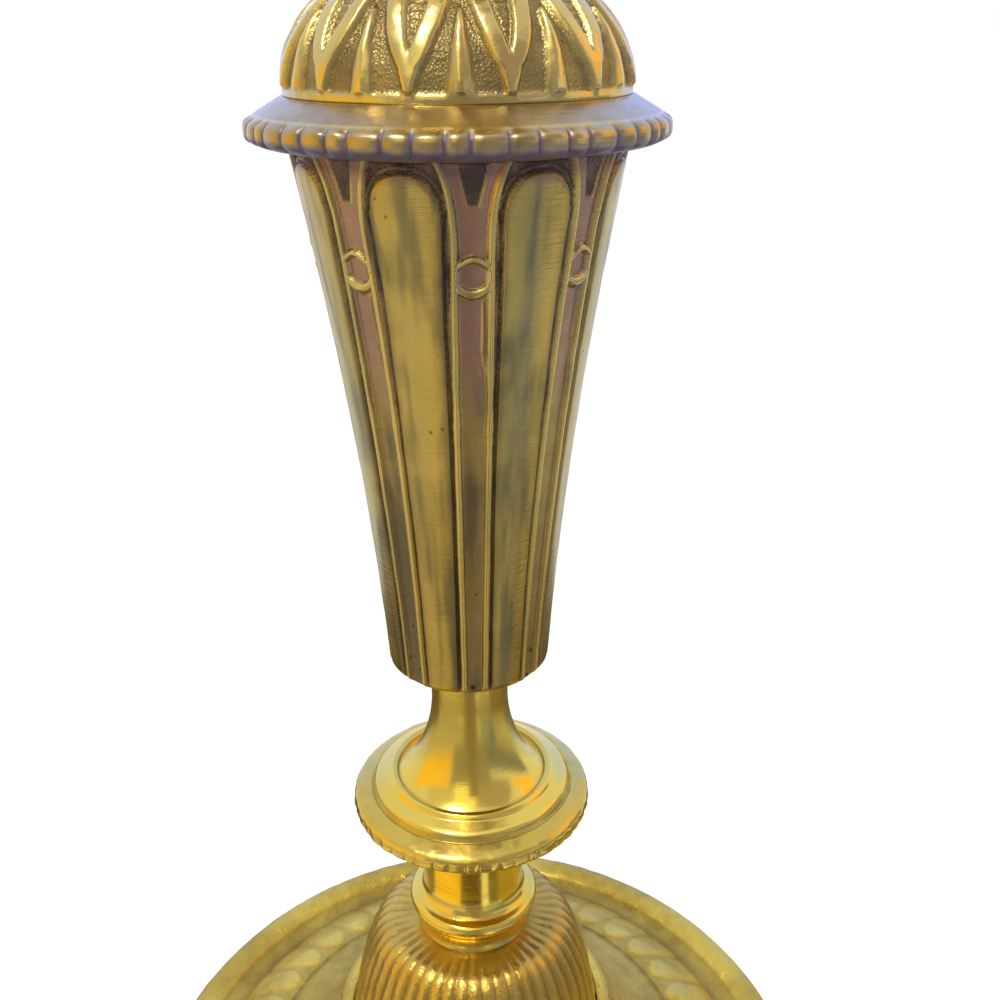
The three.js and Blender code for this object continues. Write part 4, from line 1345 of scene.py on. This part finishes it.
class MakeCollars(bpy.types.Operator):
    """Makes the turned collars: spool, trumpet neck and upper collar"""

    bl_idname = "candlestick.make_collars"
    bl_label = "Turned collars"

    def execute(self, context):
        shapes = (
            ("spool_collar", spool_outline(), seams(SPOOL_SEAT, KNOP_SEAT)),
            ("trumpet_neck", neck_outline(), neck_ornament),
            ("upper_collar", upper_collar_outline(), seams(COLLAR_SEAT, NOZZLE_SEAT)),
        )
        for node, outline, shade in shapes:
            mesh = sector(node, outline, TURN / 4, 28, shade)
            turned("visible_" + node, node, mesh, 4, finish_of("Polished brass"))
        return {"FINISHED"}


class MakeKnop(bpy.types.Operator):
    """Makes the knop with its chased edge and ring lines"""

    bl_idname = "candlestick.make_knop"
    bl_label = "Knop"

    def execute(self, context):
        columns = valley_columns(TURN / SCALLOPS, 12, SCALLOPS // SCALLOP_SECTORS)
        mesh = sector("knop", knop_outline(), TURN / SCALLOP_SECTORS, columns, knop_ornament)
        turned("visible_knop", "knop", mesh, SCALLOP_SECTORS, finish_of("Polished brass"), waver=1.8)
        return {"FINISHED"}


class MakeStem(bpy.types.Operator):
    """Makes the tapered stem with its arched panels and channelled strips"""

    bl_idname = "candlestick.make_stem"
    bl_label = "Stem"

    def execute(self, context):
        mesh = sector("stem", stem_outline(), TURN / PANELS, stem_columns(), stem_ornament)
        finish = finish_of("Stem brass")
        turned("visible_stem", "stem", mesh, PANELS, finish, STRIP_AZIMUTH, waver=0.7, waver_length=5.0)
        return {"FINISHED"}


class MakeFlange(bpy.types.Operator):
    """Makes the shoulder flange with its scalloped edge"""

    bl_idname = "candlestick.make_flange"
    bl_label = "Shoulder flange"

    def execute(self, context):
        columns = valley_columns(TURN / SCALLOPS, 14, SCALLOPS // SCALLOP_SECTORS)
        # The last setting lays painted shade below the flange's edge
        notches = scallops(28.5, 29.9, share=1.3, fullness=0.34, shade=1.0, under=1.0)
        mesh = sector("flange", flange_outline(), TURN / SCALLOP_SECTORS, columns, notches)
        finish = finish_of("Shoulder brass")
        turned("visible_flange", "shoulder_flange", mesh, SCALLOP_SECTORS, finish, waver=1.6)
        return {"FINISHED"}


class MakeDome(bpy.types.Operator):
    """Makes the leaf dome with its straps and lancet leaves"""

    bl_idname = "candlestick.make_dome"
    bl_label = "Leaf dome"

    def execute(self, context):
        mesh = sector("dome", dome_outline(), TURN / STRAPS, 52, dome_ornament)
        finish = finish_of("Dome brass")
        turned("visible_dome", "leaf_dome", mesh, STRAPS, finish, STRAP_AZIMUTH, waver=1.6)
        return {"FINISHED"}


class MakeNozzle(bpy.types.Operator):
    """Makes the lobed nozzle that holds the candle"""

    bl_idname = "candlestick.make_nozzle"
    bl_label = "Nozzle"

    def execute(self, context):
        mesh = sector("nozzle", nozzle_outline(), TURN / NOZZLE_LOBES, 24, nozzle_ornament)
        turned("visible_nozzle", "nozzle", mesh, NOZZLE_LOBES, finish_of("Polished brass"), waver=1.0)
        return {"FINISHED"}


class MakePan(bpy.types.Operator):
    """Makes the loose drip pan"""

    bl_idname = "candlestick.make_pan"
    bl_label = "Drip pan"

    def execute(self, context):
        columns = valley_columns(TURN / PAN_SCALLOPS, 16, PAN_SCALLOPS // SCALLOP_SECTORS)
        notches = scallops(26, 27.3, count=PAN_SCALLOPS)
        mesh = sector("pan", pan_outline(), TURN / SCALLOP_SECTORS, columns, notches)
        finish = finish_of("Polished brass")
        turned("visible_drip_pan", "drip_pan", mesh, SCALLOP_SECTORS, finish, waver=1.0, body="pan")
        return {"FINISHED"}


class MakeFastenings(bpy.types.Operator):
    """Makes the tie rod, its washer and its nut"""

    bl_idname = "candlestick.make_fastenings"
    bl_label = "Rod, washer and nut"

    def execute(self, context):
        finish = finish_of("Steel")
        rod = sector("rod", rod_outline(), TURN, 48, rod_ornament, FINE_CORNER)
        turned("visible_tie_rod", "tie_rod", rod, 1, finish)
        washer = sector("washer", washer_outline(), TURN / 4, 20)
        turned("visible_foot_washer", "foot_washer", washer, 4, finish)
        nut = sector("nut", nut_outline(), TURN / 6, 12, nut_ornament, FINE_CORNER)
        turned("visible_foot_nut", "foot_nut", nut, 6, finish)
        return {"FINISHED"}


class MakeStage(bpy.types.Operator):
    """Makes the camera, the floor, the surround, the lamps and the cards that the brass reflects"""

    bl_idname = "candlestick.make_stage"
    bl_label = "Stage"

    def execute(self, context):
        make_camera(context.scene)
        make_surround(context.scene)
        make_floor(context.scene)
        make_lamps(context.scene)
        make_cards(context.scene)
        return {"FINISHED"}


# Stage

AIM = (0, 0, 0.14)
FLOOR_HALF = 4.0
FLOOR_GLOW = 1.14
FLOOR_GLOW_SHARE = 0.8
WHITE = (1.0, 1.0, 1.0)


def make_camera(scene):
    settings = scene.candlestick_stage
    data = bpy.data.cameras.new("Camera")
    data.lens = settings.lens
    data.sensor_width = 36
    data.clip_start = 0.01
    camera = bpy.data.objects.new("Camera", data)
    scene.collection.objects.link(camera)
    turn = Matrix.Rotation(-settings.camera_yaw, 4, "Z")
    tilt = Matrix.Rotation(math.pi / 2 - settings.camera_pitch, 4, "X")
    roll = Matrix.Rotation(settings.camera_roll, 4, "Z")
    camera.matrix_world = Matrix.Translation(settings.camera_place) @ turn @ tilt @ roll
    scene.camera = camera


def seen_directly(graph):
    """1 on rays from the camera, from a mirror or through glass, and 0 on rays that only light."""
    path = graph.tree.nodes.new("ShaderNodeLightPath")
    kinds = ("Is Camera Ray", "Is Glossy Ray", "Is Transmission Ray")
    camera, glossy, transmission = [Wire(graph, path.outputs[kind]) for kind in kinds]
    return camera.most(glossy).most(transmission)


def make_surround(scene):
    world = bpy.data.worlds.new("Surround")
    scene.world = world
    world.use_nodes = True
    graph = Graph(world.node_tree)
    background = world.node_tree.nodes["Background"]
    background.inputs["Color"].default_value = opaque(WHITE)
    level = scene.candlestick_stage.surround
    graph.feed(background.inputs["Strength"], level + seen_directly(graph) * (1 - level))


def bare_material(name):
    """A material's graph with nothing in it but the output, and that output's surface socket."""
    material = bpy.data.materials.new(name)
    material.use_nodes = True
    nodes = material.node_tree.nodes
    nodes.remove(nodes["Principled BSDF"])
    return material, Graph(material.node_tree), nodes["Material Output"].inputs["Surface"]


def make_floor(scene):
    corners = [(x * FLOOR_HALF, y * FLOOR_HALF, 0) for x, y in ((-1, -1), (1, -1), (1, 1), (-1, 1))]
    mesh = bpy.data.meshes.new("floor")
    mesh.from_pydata(corners, [], [(0, 1, 2, 3)])
    floor = bpy.data.objects.new("floor", mesh)
    scene.collection.objects.link(floor)
    material, graph, surface = bare_material("Floor")
    pale = graph.node("ShaderNodeBsdfDiffuse", None, {"Color": (0.8, 0.8, 0.8, 1)})
    glow = graph.node("ShaderNodeEmission", None, {"Color": opaque(WHITE), "Strength": FLOOR_GLOW})
    share = seen_directly(graph) * FLOOR_GLOW_SHARE
    graph.feed(surface, graph.node("ShaderNodeMixShader", None, {0: share, 1: pale, 2: glow}))
    mesh.materials.append(material)


def aimed(place, target):
    """A matrix at one place whose -Z looks at another, which isn't straight above or below it."""
    place, target = np.array(place), np.array(target)
    back = (place - target) / np.linalg.norm(place - target)
    side = np.cross((0, 0, 1), back)
    side = side / np.linalg.norm(side)
    up = np.cross(back, side)
    matrix = Matrix.Identity(4)
    for row in range(3):
        matrix[row][0], matrix[row][1], matrix[row][2] = side[row], up[row], back[row]
        matrix[row][3] = place[row]
    return matrix


def area_lamp(scene, name, place, size, power, colour):
    data = bpy.data.lights.new(name, "AREA")
    data.shape = "RECTANGLE"
    data.size, data.size_y = size
    data.energy = power
    data.color = colour
    lamp = bpy.data.objects.new(name, data)
    scene.collection.objects.link(lamp)
    lamp.matrix_world = aimed(place, AIM)
    return lamp


def polar(azimuth, distance, z):
    """A place round the column: azimuth in degrees from the front towards +X, metres out, metres up."""
    angle = math.radians(azimuth)
    return (distance * math.sin(angle), -distance * math.cos(angle), z)


def azimuths(first, last):
    """Azimuths between two, in steps of about 15 degrees."""
    return np.linspace(first, last, 1 + max(1, round(abs(last - first) / 15)))


def on_table(first, last, near, far, z):
    """Two rows of places on the table, along the near and the far arc of a sector."""
    return [[polar(a, distance, z) for a in azimuths(first, last)] for distance in (near, far)]


def wall(first, last, distance, bottom, top):
    """Two rows of places round the column, along the bottom and the top of an upright wall."""
    return [[polar(a, distance, z) for a in azimuths(first, last)] for z in (bottom, top)]


def card(scene, name, rows, shade):
    """A card between two rows of places, which only reflections see."""
    count = len(rows[0])
    faces = [(k, k + 1, count + k + 1, count + k) for k in range(count - 1)]
    mesh = bpy.data.meshes.new(name)
    mesh.from_pydata(rows[0] + rows[1], [], faces)
    material, graph, surface = bare_material(name)
    graph.feed(surface, graph.node("ShaderNodeEmission", None, {"Color": opaque(shade), "Strength": 1.0}))
    mesh.materials.append(material)
    piece = bpy.data.objects.new(name, mesh)
    scene.collection.objects.link(piece)
    piece.visible_camera = False
    piece.visible_diffuse = False
    piece.visible_shadow = False


# Cards on the table: first and last azimuth in degrees, near and far distance, height above the
# table, where a higher card hides a lower one, and shade
TABLE_CARDS = (
    ("left_dark_near_card", -180, -98, 0.0695, 0.1, 0.001, (0.26, 0.22, 0.08)),
    ("left_near_card", -96, -28, 0.0695, 0.1, 0.001, (1.5, 1.02, 0.07)),
    ("centre_near_card", -30, 18, 0.0695, 0.1, 0.001, (0.05, 0.025, 0.02)),
    ("streak_near_card", 18, 33, 0.0695, 0.1, 0.001, (1.5, 1.5, 1.4)),
    ("olive_near_card", 33, 56, 0.0695, 0.1, 0.001, (0.2, 0.18, 0.06)),
    ("right_near_card", 56, 135, 0.0695, 0.1, 0.001, (0.55, 0.42, 0.05)),
    ("right_dark_near_card", 135, 180, 0.0695, 0.1, 0.001, (0.26, 0.22, 0.08)),
    ("table_card", -115, 115, 0.1, 0.9, 0.003, (0.8, 0.79, 0.7)),
    ("left_green_card", -56, -18, 0.26, 0.9, 0.004, (0.8, 0.8, 0.74)),
    ("yellow_card", -34, -18, 0.17, 0.26, 0.004, (1.2, 1.0, 0.5)),
    ("centre_card", -16, 17, 0.1, 0.8, 0.004, (0.4, 0.33, 0.32)),
    ("streak_card", 19, 27, 0.1, 0.26, 0.004, (1.1, 1.1, 1.0)),
    ("right_green_card", 27, 66, 0.19, 0.9, 0.004, (0.5, 0.6, 0.72)),
    ("shadow_card", 50, 63, 0.24, 0.42, 0.005, (0.14, 0.24, 1.0)),
    ("right_brown_card", 62, 112, 0.1, 0.2, 0.005, (0.4, 0.28, 0.08)),
    ("neck_left_card", -108, -31, 0.14, 0.167, 0.006, (0.6, 0.36, 0.02)),
    ("neck_brown_card", -31, 112, 0.14, 0.167, 0.006, (0.15, 0.11, 0.05)),
    ("left_dark_card", -180, -100, 0.1, 0.22, 0.004, (0.16, 0.12, 0.05)),
    ("right_dark_card", 112, 180, 0.1, 0.22, 0.004, (0.18, 0.14, 0.06)),
    ("left_low_card", -160, -116, 0.22, 0.9, 0.003, (0.85, 0.9, 0.95)),
    ("right_low_card", 116, 160, 0.22, 0.9, 0.003, (0.8, 0.9, 1.05)),
)

# Upright cards: first and last azimuth in degrees, distance, heights of bottom and top, shade
WALL_CARDS = (
    ("viewer_card", -5, 11, 0.5, 0.02, 0.55, (0.36, 0.29, 0.25)),
    ("front_card", -40, 38, 0.52, 0.02, 0.34, (0.42, 0.42, 0.42)),
    ("left_far_card", -105, -42, 0.5, 0.05, 0.33, (1.35, 0.9, 0.14)),
    ("right_far_card", 38, 112, 0.5, 0.02, 0.19, (0.28, 0.31, 0.48)),
    ("right_wood_card", 79, 112, 0.5, 0.24, 0.36, (1.4, 0.86, 0.1)),
    ("right_warm_card", 92, 110, 0.49, 0.36, 0.56, (2.4, 0.95, 0.04)),
    ("high_left_card", -80, -32, 0.6, 0.36, 1.1, (0.85, 0.8, 0.66)),
    ("high_bright_card", -32, 8, 0.6, 0.36, 1.1, (1.5, 1.4, 0.76)),
    ("high_dark_card", 8, 72, 0.6, 0.3, 1.1, (0.56, 0.48, 0.5)),
    ("left_window_card", -170, -138, 1.0, 0.05, 1.5, (0.86, 1.04, 1.8)),
    ("right_window_card", 138, 170, 1.0, 0.05, 1.5, (0.74, 0.98, 2.1)),
)
CEILING_HEIGHT = 1.2
CEILING_SHADE = (0.58, 0.5, 0.25)
FILL_SHARE = 0.35


def make_lamps(scene):
    key = scene.candlestick_stage.key
    area_lamp(scene, "Key", (-0.27, -0.36, 1.04), (0.19, 0.19), key, (1.0, 0.97, 0.9))
    fill = area_lamp(scene, "Fill", (0.8, -0.3, 0.5), (0.5, 0.5), key * FILL_SHARE, (0.92, 0.96, 1.0))
    fill.visible_glossy = False


def make_cards(scene):
    """The cards that stand for the room in the brass."""
    for name, first, last, near, far, z, shade in TABLE_CARDS:
        card(scene, name, on_table(first, last, near, far, z), shade)
    for name, first, last, distance, bottom, top, shade in WALL_CARDS:
        card(scene, name, wall(first, last, distance, bottom, top), shade)
    ceiling = [[(x, y, CEILING_HEIGHT) for x in (-0.35, 0.35)] for y in (0.0, 0.24)]
    card(scene, "ceiling_card", ceiling, CEILING_SHADE)


# Panel and registration


class CandlestickPanel(bpy.types.Panel):
    """Lists the pieces and their settings"""

    bl_label = "Candlestick"
    bl_idname = "VIEW3D_PT_candlestick"
    bl_space_type = "VIEW_3D"
    bl_region_type = "UI"
    bl_category = "Candlestick"

    def draw(self, context):
        for group in SETTINGS:
            box = self.layout.box()
            settings = getattr(context.scene, group)
            for name in settings.bl_rna.properties.keys():
                if name not in ("rna_type", "name"):
                    box.prop(settings, name)
        for operator in OPERATORS:
            self.layout.operator(operator.bl_idname)


SETTINGS = {
    "candlestick_ornament": OrnamentSettings,
    "candlestick_finish": FinishSettings,
    "candlestick_stage": StageSettings,
}
OPERATORS = (
    MakeStage,
    MakeFoot,
    MakeMound,
    MakeCollars,
    MakeKnop,
    MakeStem,
    MakeFlange,
    MakeDome,
    MakeNozzle,
    MakePan,
    MakeFastenings,
)
CLASSES = tuple(SETTINGS.values()) + OPERATORS + (CandlestickPanel,)


def register():
    for kind in CLASSES:
        bpy.utils.register_class(kind)
    for name, group in SETTINGS.items():
        setattr(bpy.types.Scene, name, bpy.props.PointerProperty(type=group))


def unregister():
    for name in SETTINGS:
        delattr(bpy.types.Scene, name)
    for kind in reversed(CLASSES):
        bpy.utils.unregister_class(kind)


def main():
    register()
    bpy.context.scene.view_settings.view_transform = "Standard"
    bpy.ops.candlestick.make_stage()
    bpy.ops.candlestick.make_foot()
    bpy.ops.candlestick.make_mound()
    bpy.ops.candlestick.make_collars()
    bpy.ops.candlestick.make_knop()
    bpy.ops.candlestick.make_stem()
    bpy.ops.candlestick.make_flange()
    bpy.ops.candlestick.make_dome()
    bpy.ops.candlestick.make_nozzle()
    bpy.ops.candlestick.make_pan()
    bpy.ops.candlestick.make_fastenings()


if __name__ == "__main__":
    main()
